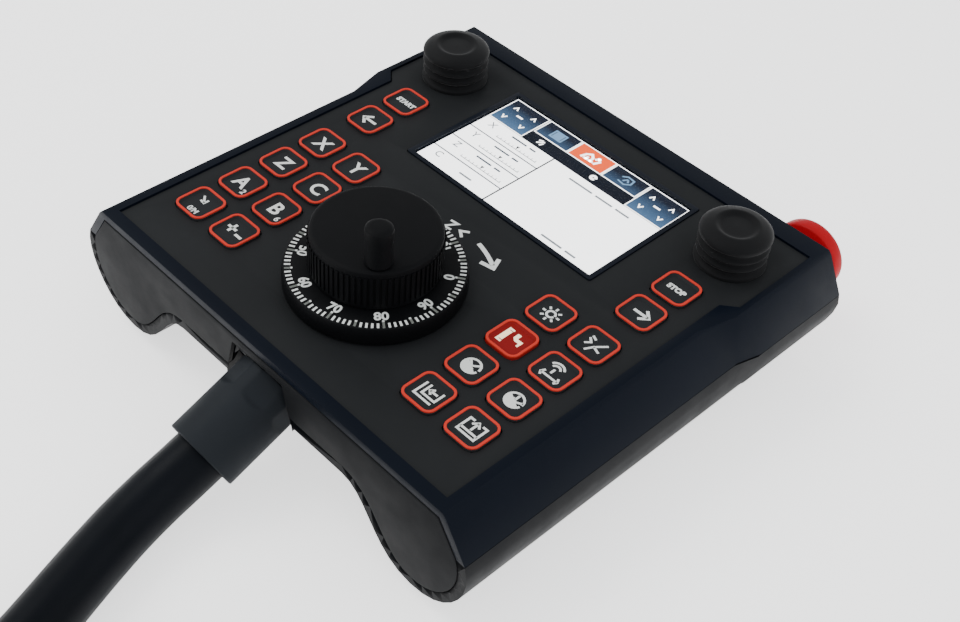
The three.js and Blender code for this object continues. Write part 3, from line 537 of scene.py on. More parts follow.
# Strokes of each drawn sign, in millimetres from the key's centre.
def sign_strokes(kind):
    loop = arc(0, 0, 4.1, 0, 345, 22)
    return {
        "home": [[(-4.2, 4.2), (0.3, 0.2)], [(-2.9, 0.6), (0.3, 0.2), (0.4, 3.4)]],
        "left": [[(4, 0), (-4, 0)], [(-0.8, 3.4), (-4.3, 0), (-0.8, -3.4)]],
        "right": [[(-4, 0), (4, 0)], [(0.8, 3.4), (4.3, 0), (0.8, -3.4)]],
        "door_in": [[(-2.2, 3.9), (-4.6, 3.9), (-4.6, -3.9), (4.6, -3.9), (4.6, 3.9), (2.2, 3.9)],
                    [(-4.6, -1.9), (4.6, -1.9)], [(0, -0.9), (0, 3.9)], [(-2, 1.9), (0, 4.1), (2, 1.9)]],
        "door_out": [[(-4.8, 4), (-4.8, -4), (4.8, -4)], [(-2.4, 4), (-2.4, -1.8), (4.8, -1.8), (4.8, 4)],
                     [(3.4, 1.4), (-0.8, 1.4)], [(0.8, 3), (-0.9, 1.4), (0.8, -0.2)]],
        "spindle": [loop, [(-4, -1), (-1, 0.6), (1, -0.6), (4, 1)], [(0, 0.4), (0, 3.2)],
                    [(-2.2, -1.6), (-0.8, -3)]],
        "chuck": [loop, [(-2.6, 2.4), (0, 0), (2.6, 2.4)], [(0, 0), (0, -3.4)], arc(0, 0, 1.5, 200, 340, 8)],
        "probe": [[(-4.6, -3.6), (4.6, -3.6)], [(-3.6, -1.6), (-4.6, -3.6), (-3.6, -5.2)],
                  [(3.6, -1.6), (4.6, -3.6), (3.6, -5.2)], arc(-1, 1.2, 2.2, 20, 160, 8),
                  arc(-1, 1.2, 3.9, 30, 150, 9),
                  [(-1, 1.2), (-1, -1.6)]],
        "clamp": [[(4.4, 4.4), (0.4, -0.4), (-1.6, -4.4)], [(0.4, -0.4), (4.2, -1.8)],
                  [(-4.4, 2.8), (-2.2, 0.8), (-4.2, -1.4)], [(-4.2, 4.4), (-1.6, 3.2)]],
        "coolant": [[(-2.6, -4.2), (-5, -4.2), (-5, 4.2), (-2.6, 4.2)], [(-4.2, -3.2), (-4.2, 3.2)],
                    [(-3.4, -3.2), (-3.4, 3.2)], [(0, 4.4), (0, 1.6), (1.2, 0.6), (4.6, 0.6)],
                    [(4.0, 1.2), (4.0, -1.6)],
                    [(0.9, 4.4), (0.9, 1.9), (1.5, 1.4), (4.6, 1.4)]],
        "light": [arc(0, 0, 2.0, 0, 345, 14)] + [
            [(3.1 * math.cos(a), 3.1 * math.sin(a)), (4.7 * math.cos(a), 4.7 * math.sin(a))]
            for a in [math.radians(45 * i) for i in range(8)]],
    }[kind]


# Key name, drawn sign or letters, small second letters.
SIGNS = {
    "left_outer": [("home", "", "0/M"), ("", "A", "2"), ("", "Z", ""), ("", "X", ""), ("left", "", ""),
                   ("", "START", "")],
    "left_inner": [("", "+-", ""), ("", "B", "6"), ("", "C", ""), ("", "Y", "")],
    "right_outer": [("door_in", "", ""), ("spindle", "", ""), ("probe", "", ""), ("clamp", "", ""),
                    ("right", "", ""), ("", "STOP", "")],
    "right_inner": [("door_out", "", ""), ("chuck", "", ""), ("coolant", "", ""), ("light", "", "")],
}


# ---------- the cord's route ----------
COIL_X, COIL_Y = 155.0, -291.5
LAYER_LOW, LAYER_HIGH, TOP_LEVEL = 12.6, 34.9, 65.1
LAST_ARC_R = 95.0  # radius of the last bend, which brings the connector over the coil
LAST_ARC_START = 190.0  # degrees round the coil
STEP_IN, STEP_UP, STEP_OUT = (240, 360), (570, 690), (850, 970)  # where it changes turn, layer and turn again
LEAD = [(0, -119.59, 22.12), (0, -124.66, 19.97), (0, -139.0, 15.0), (1.5, -154.0, 12.1), (5.6, -167.3, 11.3),
        (10.4, -181.5, 11.3), (17.5, -199.5, 11.3), (21.0, -209.5, 11.3), (25.4, -223.3, 11.3),
        (29.6, -241.5, 11.4), (32.2, -266.5, 11.9)]


def eased(value, start, end):
    t = min(1, max(0, (value - start) / (end - start)))
    return t * t * (3 - 2 * t)


def coil_place(turned_by, outer, inner):
    """Radius and height of the cable's centre line after it has gone round by this many degrees."""
    inward = eased(turned_by, *STEP_IN) - eased(turned_by, *STEP_OUT)
    return outer + (inner - outer) * inward, LAYER_LOW + (LAYER_HIGH - LAYER_LOW) * eased(turned_by, *STEP_UP)


def climbed(along, climb):
    """Height of the cable on its way from the upper layer to the level of the connector."""
    return LAYER_HIGH + (TOP_LEVEL - LAYER_HIGH) * (1 - math.cos(math.pi * along / climb)) / 2


def cord_route():
    s = bpy.context.scene.station_cord
    outer, inner = s.outer_turn / MM, s.inner_turn / MM
    climb = 230.0  # length over which the cable rises to the top level
    pts = list(LEAD)
    last = 900 + LAST_ARC_START
    before = climb - math.radians(90) * LAST_ARC_R
    step = 15
    for i in range(int(last // step) + 1):
        turned_by = i * step
        r, z = coil_place(turned_by, outer, inner)
        along = before - math.radians(last - turned_by) * outer
        if along > 0:
            z = climbed(along, climb)
        a = math.radians(180 + turned_by)
        pts.append((COIL_X + r * math.cos(a), COIL_Y + r * math.sin(a), z))
    a0 = math.radians(LAST_ARC_START)
    cx = COIL_X + (outer - LAST_ARC_R) * math.cos(a0)
    cy = COIL_Y + (outer - LAST_ARC_R) * math.sin(a0)
    for i in range(1, 7):
        along = before + math.radians(15 * i) * LAST_ARC_R
        z = climbed(along, climb)
        a = a0 + math.radians(15 * i)
        pts.append((cx + LAST_ARC_R * math.cos(a), cy + LAST_ARC_R * math.sin(a), z))
    end, heading = Vector(pts[-1]), a0 + math.radians(180)
    pts.append(tuple(end + 12 * Vector((math.cos(heading), math.sin(heading), 0))))
    return even_out([Vector(p) for p in pts], len(LEAD)), end * MM, heading


def even_out(pts, lead_count):
    """The route in metres with the lead's points respaced on a smooth line that keeps both its ends."""
    line = pts[:lead_count + 1]
    dense = []
    for i in range(len(line) - 1):
        p0, p1, p2 = line[max(0, i - 1)], line[i], line[i + 1]
        p3 = line[i + 2] if i + 2 < len(line) else pts[lead_count + 1]
        for k in range(12):
            t = k / 12
            dense.append(0.5 * ((2 * p1) + (p2 - p0) * t + (2 * p0 - 5 * p1 + 4 * p2 - p3) * t ** 2
                                + (3 * p1 - p0 - 3 * p2 + p3) * t ** 3))
    dense.append(line[-1])
    held = 14  # points that stay straight out of the gland
    for _ in range(160):
        softened = [(a + 2 * b + c) / 4
                    for a, b, c in zip(dense[held - 1:], dense[held:], dense[held + 1:-2])]
        dense = dense[:held] + softened + dense[-3:]
    total = [0.0]
    for a, b in zip(dense, dense[1:]):
        total.append(total[-1] + (b - a).length)
    count = 13  # points left on the lead
    spaced, j = [], 0
    for i in range(count):
        want = total[-1] * i / count
        while total[j + 1] < want:
            j += 1
        spaced.append(dense[j].lerp(dense[j + 1], (want - total[j]) / (total[j + 1] - total[j])))
    return [p * MM for p in spaced + pts[lead_count:]]


def hull(points):
    """Convex hull of points in a plane, counter-clockwise."""
    points = sorted(set(points))
    half = []
    for run in (points, points[::-1]):
        line = []
        for p in run:
            while len(line) > 1 and ((line[-1][0] - line[-2][0]) * (p[1] - line[-2][1])
                                     - (line[-1][1] - line[-2][1]) * (p[0] - line[-2][0])) <= 0:
                line.pop()
            line.append(p)
        half += line[:-1]
    return half


# ---------- operators ----------
class StationOperator(bpy.types.Operator):
    bl_options = {"REGISTER"}

    def execute(self, context):
        self.build(context.scene)
        return {"FINISHED"}


class STATION_OT_camera(StationOperator):
    """Sets up the camera"""
    bl_idname = "station.camera"
    bl_label = "Camera"

    def build(self, scene):
        data = bpy.data.cameras.new("camera")
        data.lens = 53.06
        data.sensor_width = 36.0
        data.clip_start, data.clip_end = 0.01, 20
        ob = linked("camera", data)
        forward = Vector((-0.48689, 0.53295, -0.69203)).normalized()
        up = Vector((-0.53240, 0.44701, 0.71884))
        right = forward.cross(up).normalized()
        up = right.cross(forward).normalized()
        turn = Matrix((right, up, -forward)).transposed().to_4x4()
        ob.matrix_world = Matrix.Translation((0.28598, -0.29821, 0.41090)) @ turn
        scene.camera = ob


class STATION_OT_cord(StationOperator):
    """Makes the cable with its coil, strap and connector"""
    bl_idname = "station.cord"
    bl_label = "Cable, coil and connector"

    def build(self, scene):
        s = scene.station_cord
        route, end, heading = cord_route()
        curve = bpy.data.curves.new("cable", "CURVE")
        curve.dimensions = "3D"
        curve.bevel_depth = s.diameter / 2
        curve.bevel_resolution = 7
        curve.resolution_u = 6
        curve.use_fill_caps = True
        spline = curve.splines.new("BEZIER")
        spline.bezier_points.add(len(route) - 1)
        for p, co in zip(spline.bezier_points, route):
            p.co = co
            p.handle_left_type = p.handle_right_type = "AUTO"
        curve.materials.append(cable_jacket())
        cable = linked("cable", curve)
        bpy.context.view_layer.update()
        placed(cable, "housing", "cable_lead", "cable_coil", slot="cable")
        pieces = [self.strap(s), *self.connector(end, heading)]

    def strap(self, s):
        angle, half, thick = math.radians(60), 0.008, 0.0009
        r_out, r_in = s.outer_turn, s.inner_turn
        climb_z = coil_place(600, 1, 1)[1] * MM
        centres = [(r_out, LAYER_LOW * MM), (r_out, LAYER_HIGH * MM), (r_in, climb_z)]
        loops = []
        for grow in (0.0003, 0.0003 + thick):
            r = s.diameter / 2 + grow
            loops.append(hull([(cx + r * math.cos(math.radians(6 * i)),
                                cz + r * math.sin(math.radians(6 * i)))
                               for cx, cz in centres for i in range(60)]))
        n = min(len(v) for v in loops)
        inner, outer = [v[:n] for v in loops]
        bm = bmesh.new()
        stack(bm, [[(x, y, z) for x, z in side] for side, y in
                   ((outer, -half), (outer, half), (inner, half), (inner, -half))], closed_ring=True)
        x0 = max(x for x, _ in outer)
        ribbon_box = [(x0, -half), (x0 + 0.0013, -half), (x0 + 0.0013, half), (x0, half)]
        patch(bm, ribbon_box, 0.014, 0.034)
        bm.transform(Matrix.Translation((COIL_X * MM, COIL_Y * MM, 0)) @ Matrix.Rotation(angle, 4, "Z"))
        look = finish_of("woven strap", (0.012, 0.012, 0.013), rough=0.8, grain=2600, depth=0.00008,
                         sheen=0.3,
                         stretch=(1, 1, 3))
        return placed(from_bmesh("hook_and_loop_strap", bm, look), "housing", "coil_strap", slot="strap")

    def connector(self, end, heading):
        turn = Matrix.Rotation(heading, 4, "Z") @ Matrix.Rotation(math.radians(90), 4, "Y")
        def knurl(radius, count, depth):
            def shape(r, z, a):
                return r - depth * (0.5 + 0.5 * math.cos(count * a)) if r > radius * MM - 0.0002 else r
            return shape

        nut_profile = in_mm([(11.4, 0.4), (12.4, 0), (14.2, 0.4), (15.2, 2), (16.4, 4.2), (16.4, 4.8),
                             (16.4, 19),
                             (15.6, 19.6), (15.6, 23.9), (11.4, 23.9)])
        nut = turned("connector_clamp_nut", nut_profile, nickel(), 144, end, turn,
                     scallop=knurl(16.4, 24, 0.0005))
        shell = in_mm([(0, 24.4), (16.6, 24.4), (17.0, 24.8), (17.0, 34), (15.4, 34.6), (15.4, 36.8),
                       (17.6, 37.4),
                       (17.9, 38.2), (17.9, 38.8), (17.9, 78), (17.9, 78.6), (17.2, 79.4), (16.6, 79.8),
                       (16.6, 101.4), (16.2, 101.9), (15.3, 101.9), (15.0, 101.4), (15.0, 88), (0, 88)])
        body = turned("connector_body", shell, nickel(), 160, end, turn, scallop=knurl(17.9, 40, 0.00035))
        pins = ring_of("connector_contacts", 12, 0.0098, (0.0011, 0.0011, 0.009), 0.0925, bright_steel(),
                       (0, 0, 0))
        disc = in_mm([(0, 88.05), (14.9, 88.05), (14.9, 89.2), (14.6, 89.6), (0, 89.6)])
        insert = turned("connector_insert", disc, black_plastic(), 64)
        face = merged("connector_face", [pins, insert])
        face.data.transform(Matrix.Translation(end) @ turn)
        placed(nut, "housing", "connector_nut", slot="connector_metal")
        placed(body, "housing", "connector_shell", slot="connector_metal")
        placed(face, "housing", slot="connector_metal")
        return [nut, body, face]


class STATION_OT_housing(StationOperator):
    """Makes the two housing halves, the end plate, the screws and the feet"""
    bl_idname = "station.housing"
    bl_label = "Housing"

    def build(self, scene):
        s = scene.station_finish
        refined("top_housing", shell_plastic(), s.edge_round, slot="top_housing", name="upper_shell")
        refined("rear_housing", rear_plastic(), s.edge_round * 0.5, slot="rear_housing", name="lower_shell")
        refined("end_plate", end_plastic(), 0.0004, slot="end_plate", name="cable_end_plate")
        for i in range(1, 5):
            self.screw(i)
            node = f"holding_magnet_{i}"
            look = finish_of("rubber-coated magnet", (0.009, 0.009, 0.01), rough=0.6, grain=1200,
                             depth=0.00004)
            refined(node, look, 0.0003, slot="magnet", name=f"foot_{i}")

    def screw(self, i):
        node = f"housing_screw_{i}"
        low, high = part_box(node)
        x, y = (low.x + high.x) / 2, (low.y + high.y) / 2
        z = low.z
        r = (high.x - low.x) / 2
        steps = 48

        def recess(rr, zz, a):
            return rr * (0.86 + 0.14 * math.cos(6 * a)) if rr < r * 0.62 and rr > r * 0.3 else rr
        profile = [(0, z + 0.0016), (r * 0.55, z + 0.0016), (r * 0.56, z), (r * 0.9, z), (r, z + 0.00035),
                   (r, z + 0.0024), (0.0019, z + 0.0024), (0.0019, high.z - 0.0005), (0.0016, high.z),
                   (0, high.z)]
        ob = turned(f"housing_screw_{i}_torx", profile, bright_steel(), steps, (x, y, 0), scallop=recess)
        placed(ob, "housing", node, slot="screw")


class STATION_OT_panel(StationOperator):
    """Makes the control panel with its printed arrow and signs"""
    bl_idname = "station.panel"
    bl_label = "Control panel"

    def build(self, scene):
        refined("control_panel", panel_film(), 0.0003, slot="control_panel", name="panel_plate")
        h = scene.station_keys.print_height
        ink = print_ink_with_painted_glow()
        bm = bmesh.new()
        z = PANEL.z
        centre = WHEEL

        def around(radius, angle, x=0.0, y=0.0):
            """A point x, y off a place on a circle round the wheel, turned with it."""
            a = math.radians(angle)
            t = a - math.pi / 2
            return (centre.x + (radius * math.cos(a) + x * math.cos(t) - y * math.sin(t)) * MM,
                    centre.y + (radius * math.sin(a) + x * math.sin(t) + y * math.cos(t)) * MM)

        shaft = [around(44.8, 78 - 3.4 * i) for i in range(6)]
        ribbon(bm, shaft, 0.0018, z, z + h)
        tip = around(44.6, 59)
        ribbon(bm, [around(48.2, 64.5), tip, around(40.8, 65)], 0.0018, z, z + h)
        first_sign = [around(43.5, 97, *q) for q in ((-2, 2.2), (1.6, 2.2), (-2, -2.2), (1.6, -2.2))]
        ribbon(bm, first_sign, 0.0010, z, z + h)
        ribbon(bm, [around(43.5, 90, *q) for q in ((2.4, 2.2), (-0.6, 0), (2.4, -2.2))], 0.0012, z, z + h)
        placed(from_bmesh("printed_signs", bm, ink, 0), "housing", slot="control_panel")


KEY_LIP = 0.0026  # how much wider than the key its hidden lip is
LIP_TOP, LIP_FOOT = 0.0034, 0.0045  # depths of the lip's two faces under the panel's face


class STATION_OT_keys(StationOperator):
    """Makes the keys with their rings and signs"""
    bl_idname = "station.keys"
    bl_label = "Keys"

    def build(self, scene):
        s = scene.station_keys
        plain = finish_of("matte key rubber", (0.016, 0.0175, 0.019), rough=0.5, grain=2600, depth=0.00002,
                          vary=0.1)
        lit_red = lit("lit key", (0.20, 0.008, 0.008), 0.12, 0.5)
        ring_look = lit("key ring red", scene.station_finish.ring, 0.12, 0.42)
        for column, signs in SIGNS.items():
            for i, (drawn, text, small) in enumerate(signs, 1):
                node = f"key_{column}_{i}"
                self.key(s, node, drawn, text, small, lit_red if drawn == "coolant" else plain, ring_look)

    def key(self, s, node, drawn, text, small, look, ring_look):
        low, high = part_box(node)
        cx, cy, top = (low.x + high.x) / 2, (low.y + high.y) / 2, high.z
        w = s.size
        loops = []
        for shrink, z in ((0, PANEL.z - LIP_TOP), (0, top - 0.0005), (0.00012, top - 0.0002), (0.0004, top),
                          (s.stroke + 0.0001, top), (s.stroke + 0.0010, top - 0.0007)):
            size = w - 2 * shrink
            corner = max(0.0006, s.corner - shrink)
            loops.append([(cx + x, cy + y, z) for x, y in rounded_loop(size, size, corner, 6)])
        body = bmesh.new()
        stack(body, loops)
        lip = [[(cx + x, cy + y, z) for x, y in rounded_loop(w + KEY_LIP, w + KEY_LIP, s.corner, 6)]
               for z in (PANEL.z - LIP_FOOT, PANEL.z - LIP_TOP)]
        stack(body, lip)
        cap = from_bmesh(node + "_cap", body, look)
        ring = bmesh.new()
        outer, inner = w - 0.0002, w - 2 * s.stroke - 0.0002
        rc = s.corner
        high_z = top + s.rise
        rows = [(outer, rc, top - 0.0004), (outer, rc, high_z - 0.00012),
                (outer - 0.0003, rc - 0.00015, high_z),
                (inner + 0.0003, rc - s.stroke + 0.00015, high_z), (inner, rc - s.stroke, high_z - 0.00012),
                (inner, rc - s.stroke, top - 0.0004)]
        stack(ring, [[(cx + x, cy + y, z) for x, y in rounded_loop(size, size, r, 6)] for size, r, z in rows],
              closed_ring=True)
        frame_ring = from_bmesh(node + "_ring", ring, ring_look)
        parts = [cap, frame_ring]
        z0, z1 = top - 0.0008, top - 0.0007 + s.print_height
        ink = print_ink_with_painted_glow()
        hot_ink = lit("lit cream", (0.95, 0.78, 0.55), 0.7, 0.5)
        if drawn:
            bm = bmesh.new()
            for line in sign_strokes(drawn):
                width = 0.0013 if drawn in ("left", "right") else 0.0009
                scale = 0.86 if not small else 0.74
                shift = 0 if not small else 0.9
                points = [(cx + x * scale * MM, cy + (y * scale + shift) * MM) for x, y in line]
                ribbon(bm, points, width, z0, z1)
            if drawn in ("spindle", "chuck"):
                half = [(cx + x * 0.86 * MM, cy + y * 0.86 * MM) for x, y in arc(0, 0, 4.1, 150, 330, 16)]
                patch(bm, half, z0, z1 + 0.00001)
            parts.append(from_bmesh(node + "_sign", bm, hot_ink if drawn == "coolant" else ink, 0))
        if text:
            size = 0.0034 if len(text) > 2 else (0.0105 if text == "+-" else 0.0092)
            dx = -0.0008 if small else 0
            if text == "+-":
                bm = bmesh.new()
                for line in ([(-4.8, 0.8), (0, 0.8)], [(-2.4, 3.2), (-2.4, -1.6)],
                             [(1.2, -0.8), (4.8, -0.8)]):
                    ribbon(bm, [(cx + x * MM, cy + y * MM) for x, y in line], 0.0012, z0, z1)
                parts.append(from_bmesh(node + "_sign", bm, ink, 0))
            else:
                parts.append(letters(node + "_text", text, size, ink, (cx + dx, cy, z0), z1 - z0,
                                     bold=0.00022))
        if small:
            x, y, size = (0.0042, -0.0034, 0.0038) if text else (0.0006, -0.0045, 0.0034)
            parts.append(letters(node + "_small", small, size, ink, (cx + x, cy + y, z0), z1 - z0,
                                 bold=0.0001))
        ob = merged(node + "_finished", parts)
        placed(ob, node, node, slot="key")


SCREEN_STEP = 0.00004  # how far each layer of the screen's picture stands over the one below


class STATION_OT_display(StationOperator):
    """Makes the display with its bezel, screen picture and window"""
    bl_idname = "station.display"
    bl_label = "Display"

    def build(self, scene):
        bezel = finish_of("gloss bezel", (0.007, 0.009, 0.014), rough=0.3, grain=1800, depth=0.000006,
                          vary=0.1,
                          rough_vary=0.06)
        refined("display_bezel", bezel, 0.00025, slot="display_bezel", name="screen_bezel")
        module = finish_of("display carrier", (0.02, 0.02, 0.022), rough=0.5, grain=900)
        refined("display_module", module, 0.0003, slot="display_module", name="screen_carrier")
        low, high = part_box("display_window")
        self.picture(low, high)
        self.window(low, high)

    def window(self, low, high):
        glass = bpy.data.materials.new("display glass")
        glass.use_nodes = True
        bsdf = glass.node_tree.nodes["Principled BSDF"]
        bsdf.inputs["Base Color"].default_value = (0.01, 0.012, 0.015, 1)
        bsdf.inputs["Roughness"].default_value = 0.2
        bsdf.inputs["Specular IOR Level"].default_value = 0.1
        bsdf.inputs["Alpha"].default_value = 0.06
        bsdf.inputs["IOR"].default_value = 1.5
        noise = node_at(glass.node_tree, "ShaderNodeTexNoise", -500, -200, Scale=300.0)
        bump = node_at(glass.node_tree, "ShaderNodeBump", -200, -200, Strength=0.05, Distance=0.00001)
        place = node_at(glass.node_tree, "ShaderNodeTexCoord", -700, -200)
        glass.node_tree.links.new(place.outputs["Object"], noise.inputs["Vector"])
        glass.node_tree.links.new(noise.outputs["Fac"], bump.inputs["Height"])
        glass.node_tree.links.new(bump.outputs["Normal"], bsdf.inputs["Normal"])
        bm = bmesh.new()
        w, h = high.x - low.x, high.y - low.y
        cx, cy = (low.x + high.x) / 2, (low.y + high.y) / 2
        rows = [(0.0, high.z - 0.0007), (0.0, high.z - 0.0002), (0.0002, high.z)]
        stack(bm, [[(cx + x, cy + y, z) for x, y in rounded_loop(w - 2 * e, h - 2 * e, 0.0008, 4)] for e,
                   z in rows])
        ob = from_bmesh("screen_window", bm, glass)
        placed(ob, "housing", "display_window", slot="display_window")

    def picture(self, low, high):
        """Screen tiles, rows and figures as thin plates under the window."""
        z = high.z - 0.0010
        x0, y0, w, h = low.x, low.y, high.x - low.x, high.y - low.y
        looks = {"white": lit("screen white", (0.95, 0.955, 0.96), 3.0),
                 "dark": lit("screen dark", (0.010, 0.013, 0.022), 0.05), "blue": self.tile_blue(y0, h),
                 "orange": lit("screen orange", (0.80, 0.085, 0.018), 1.2),
                 "grey": lit("screen grey", (0.30, 0.33, 0.36), 0.3),
                 "line": lit("screen line", (0.10, 0.13, 0.17), 0.1),
                 "pale": lit("screen pale blue", (0.20, 0.36, 0.56), 0.45)}
        parts = []
        level = [0]

        def tile(x, y, tw, th, look):
            bm = bmesh.new()
            lift = z + level[0] * SCREEN_STEP
            patch(bm, [(x0 + x * w, y0 + y * h), (x0 + (x + tw) * w, y0 + y * h),
                       (x0 + (x + tw) * w, y0 + (y + th) * h), (x0 + x * w, y0 + (y + th) * h)],
                       lift - 0.00012, lift)
            parts.append(from_bmesh("tile", bm, looks[look], 0))

        def axis_letter(text, x, y, size, look):
            parts.append(letters("axis_letter", text, size, looks[look],
                                 (x0 + x * w, y0 + y * h, z + level[0] * SCREEN_STEP - 0.0001), 0.00012))

        def dashes(lengths, x, y, unit, look):
            """A line of plain dashes where a line of small print stands, centred on a place."""
            total = sum(lengths) + len(lengths) - 1
            start = -total / 2
            runs = []
            for count in lengths:
                runs.append([(start, 0), (start + count, 0)])
                start += count + 1
            strokes(runs, x, y, unit, unit * 0.55, look)

        def strokes(lines, x, y, scale, width, look, closed=False):
            bm = bmesh.new()
            top = z + level[0] * SCREEN_STEP
            for line in lines:
                ribbon(bm, [(x0 + x * w + px * scale, y0 + y * h + py * scale) for px, py in line], width,
                       top - 0.0001, top, closed)
            parts.append(from_bmesh("strokes", bm, looks[look], 0))

        tile(0, 0, 1, 1, "dark")
        level[0] = 1
        tile(0.004, 0.008, 0.394, 0.684, "white")
        tile(0.406, 0.008, 0.590, 0.684, "white")
        tiles = [(0.006, 0.70, 0.196, "blue"), (0.212, 0.815, 0.188, "blue"), (0.407, 0.815, 0.190, "orange"),
                 (0.604, 0.815, 0.186, "blue"), (0.798, 0.70, 0.196, "blue")]
        for x, y, tw, look in tiles:
            tile(x, y, tw, 0.99 - y, look)
        level[0] = 2
        for x, y, tw, look in tiles:
            edge = [(0, 0), (tw * w, 0), (tw * w, (0.99 - y) * h), (0, (0.99 - y) * h)]
            strokes([edge], x, y, 1.0, 0.00045, "white", True)
        for i in range(1, 4):
            tile(0.004, 0.008 + i * 0.171 - 0.005, 0.394, 0.010, "line")
        for i, name in enumerate(("C", "Z", "Y", "X")):
            y = 0.008 + i * 0.171 + 0.1
            axis_letter(name, 0.07, y + 0.01, 0.0050, "line")
            dashes([4] if i == 0 else [5, 2], 0.25, y + (-0.02 if i == 0 else 0.025), 0.0017,
                   "grey" if i == 0 else "line")
            if i:
                tile(0.135, y - 0.062, 0.235, 0.006, "grey")
                for k in range(11):
                    tile(0.135 + 0.0229 * k, y - 0.062, 0.003, 0.022, "grey")
                strokes([[(-0.5, 1.4), (0, 0.2), (0.5, 1.4)]], 0.25, y - 0.045, 0.001, 0.0006, "dark")
        dashes([7, 5, 4], 0.70, 0.62, 0.0018, "grey")
        dashes([6, 3], 0.80, 0.06, 0.0018, "grey")
        for x in (0.103, 0.897):
            dashes([2], x, 0.845, 0.0017, "white")
            for dx, dy, turn in ((-0.052, 0.06, 1), (0.052, 0.06, 1), (-0.052, -0.075, -1),
                                 (0.052, -0.075, -1)):
                strokes([[(-1, -turn), (0, 0.8 * turn), (1, -turn)]], x + dx, 0.845 + dy, 0.0011, 0.0006,
                        "white")
        strokes([[(-3, -2.4), (3, -2.4), (3, 2.4), (-3, 2.4)]], 0.306, 0.90, 0.001, 0.0008, "pale", True)
        tile(0.283, 0.865, 0.046, 0.07, "pale")
        strokes([[(-4.4, -2.6), (-3.4, 0.6), (-1.5, 2.2), (0.4, 0.4), (0.8, -2.6)],
                 [(-3.2, -2.0), (2.2, -2.0)],
                 [(2, 2.5), (4.2, 0.6), (3.0, -2.6)], [(-1.7, -2.6), (-1.7, -0.2)], [(1.6, 0.4), (3.4, 2.6)]],
                0.502, 0.90, 0.00095, 0.0011, "white")
        strokes([[(-2.8, -2), (0.8, -2.6), (3, -0.6), (2.6, 2.2), (-0.8, 2.6), (-2.8, 1)],
                 [(-1, -1), (0.2, 1.2)],
                 [(0.2, 1.2), (1.5, -0.6)]], 0.697, 0.90, 0.001, 0.0008, "pale")
        strokes([[(-1.2, -1.2), (1.4, 1.4)], [(-1.4, 0.8), (0.4, 1.6)], [(0.8, -1.6), (1.6, 0.2)]], 0.285,
                0.752, 0.001,
                0.0007, "white")
        strokes([arc(0, 0, 1.1, 0, 330, 12)], 0.595, 0.752, 0.001, 0.0012, "white")
        ob = merged("screen_picture", parts, 0)
        placed(ob, "housing", slot="display_module")

    @staticmethod
    def tile_blue(y0, h):
        """Soft-key colour: dark at its top, blue at its foot."""
        m = lit("screen blue", (0.03, 0.05, 0.09), 0.0)
        t = m.node_tree
        bsdf = t.nodes["Principled BSDF"]
        place = t.nodes["Texture Coordinate"]
        split = node_at(t, "ShaderNodeSeparateXYZ", -500, 500)
        ramp = node_at(t, "ShaderNodeMapRange", -250, 500)
        ramp.inputs["From Min"].default_value = y0 + 0.70 * h
        ramp.inputs["From Max"].default_value = y0 + 0.93 * h
        mix = node_at(t, "ShaderNodeMix", 0, 500)
        mix.data_type = "RGBA"
        mix.inputs[6].default_value = (0.085, 0.17, 0.31, 1)
        mix.inputs[7].default_value = (0.014, 0.018, 0.032, 1)
        t.links.new(place.outputs["Object"], split.inputs["Vector"])
        t.links.new(split.outputs["Y"], ramp.inputs["Value"])
        t.links.new(ramp.outputs["Result"], mix.inputs[0])
        t.links.new(mix.outputs[2], bsdf.inputs["Base Color"])
        t.links.new(mix.outputs[2], bsdf.inputs["Emission Color"])
        bsdf.inputs["Emission Strength"].default_value = 0.35
        return m


class STATION_OT_boards(StationOperator):
    """Finishes the pieces inside the housing"""
    bl_idname = "station.boards"
    bl_label = "Inside pieces"

    def build(self, scene):
        board = finish_of("solder mask green", (0.008, 0.075, 0.03), rough=0.35, grain=500, depth=0.00003)
        refined("main_board", board, 0, slot="main_board", name="circuit_board")
        cast = finish_of("turned aluminium", (0.55, 0.55, 0.57), rough=0.3, grain=900, depth=0.00001,
                         metal=1.0,
                         stretch=(1, 1, 8))
        refined("encoder_body", cast, 0.0003, slot="encoder_body", name="wheel_encoder")
        refined("estop_contact_block", black_plastic(), 0.0005, slot="estop_black", name="stop_contact_block")
        for side in ("left", "right"):
            refined(f"joystick_base_{side}", bright_steel(), 0.0003, slot="joystick_metal",
                    name=f"stick_base_{side}")
            refined(f"joystick_gimbal_{side}", bright_steel(), 0.0002, f"gimbal_{side}",
                    slot="joystick_metal",
                    name=f"stick_gimbal_{side}")


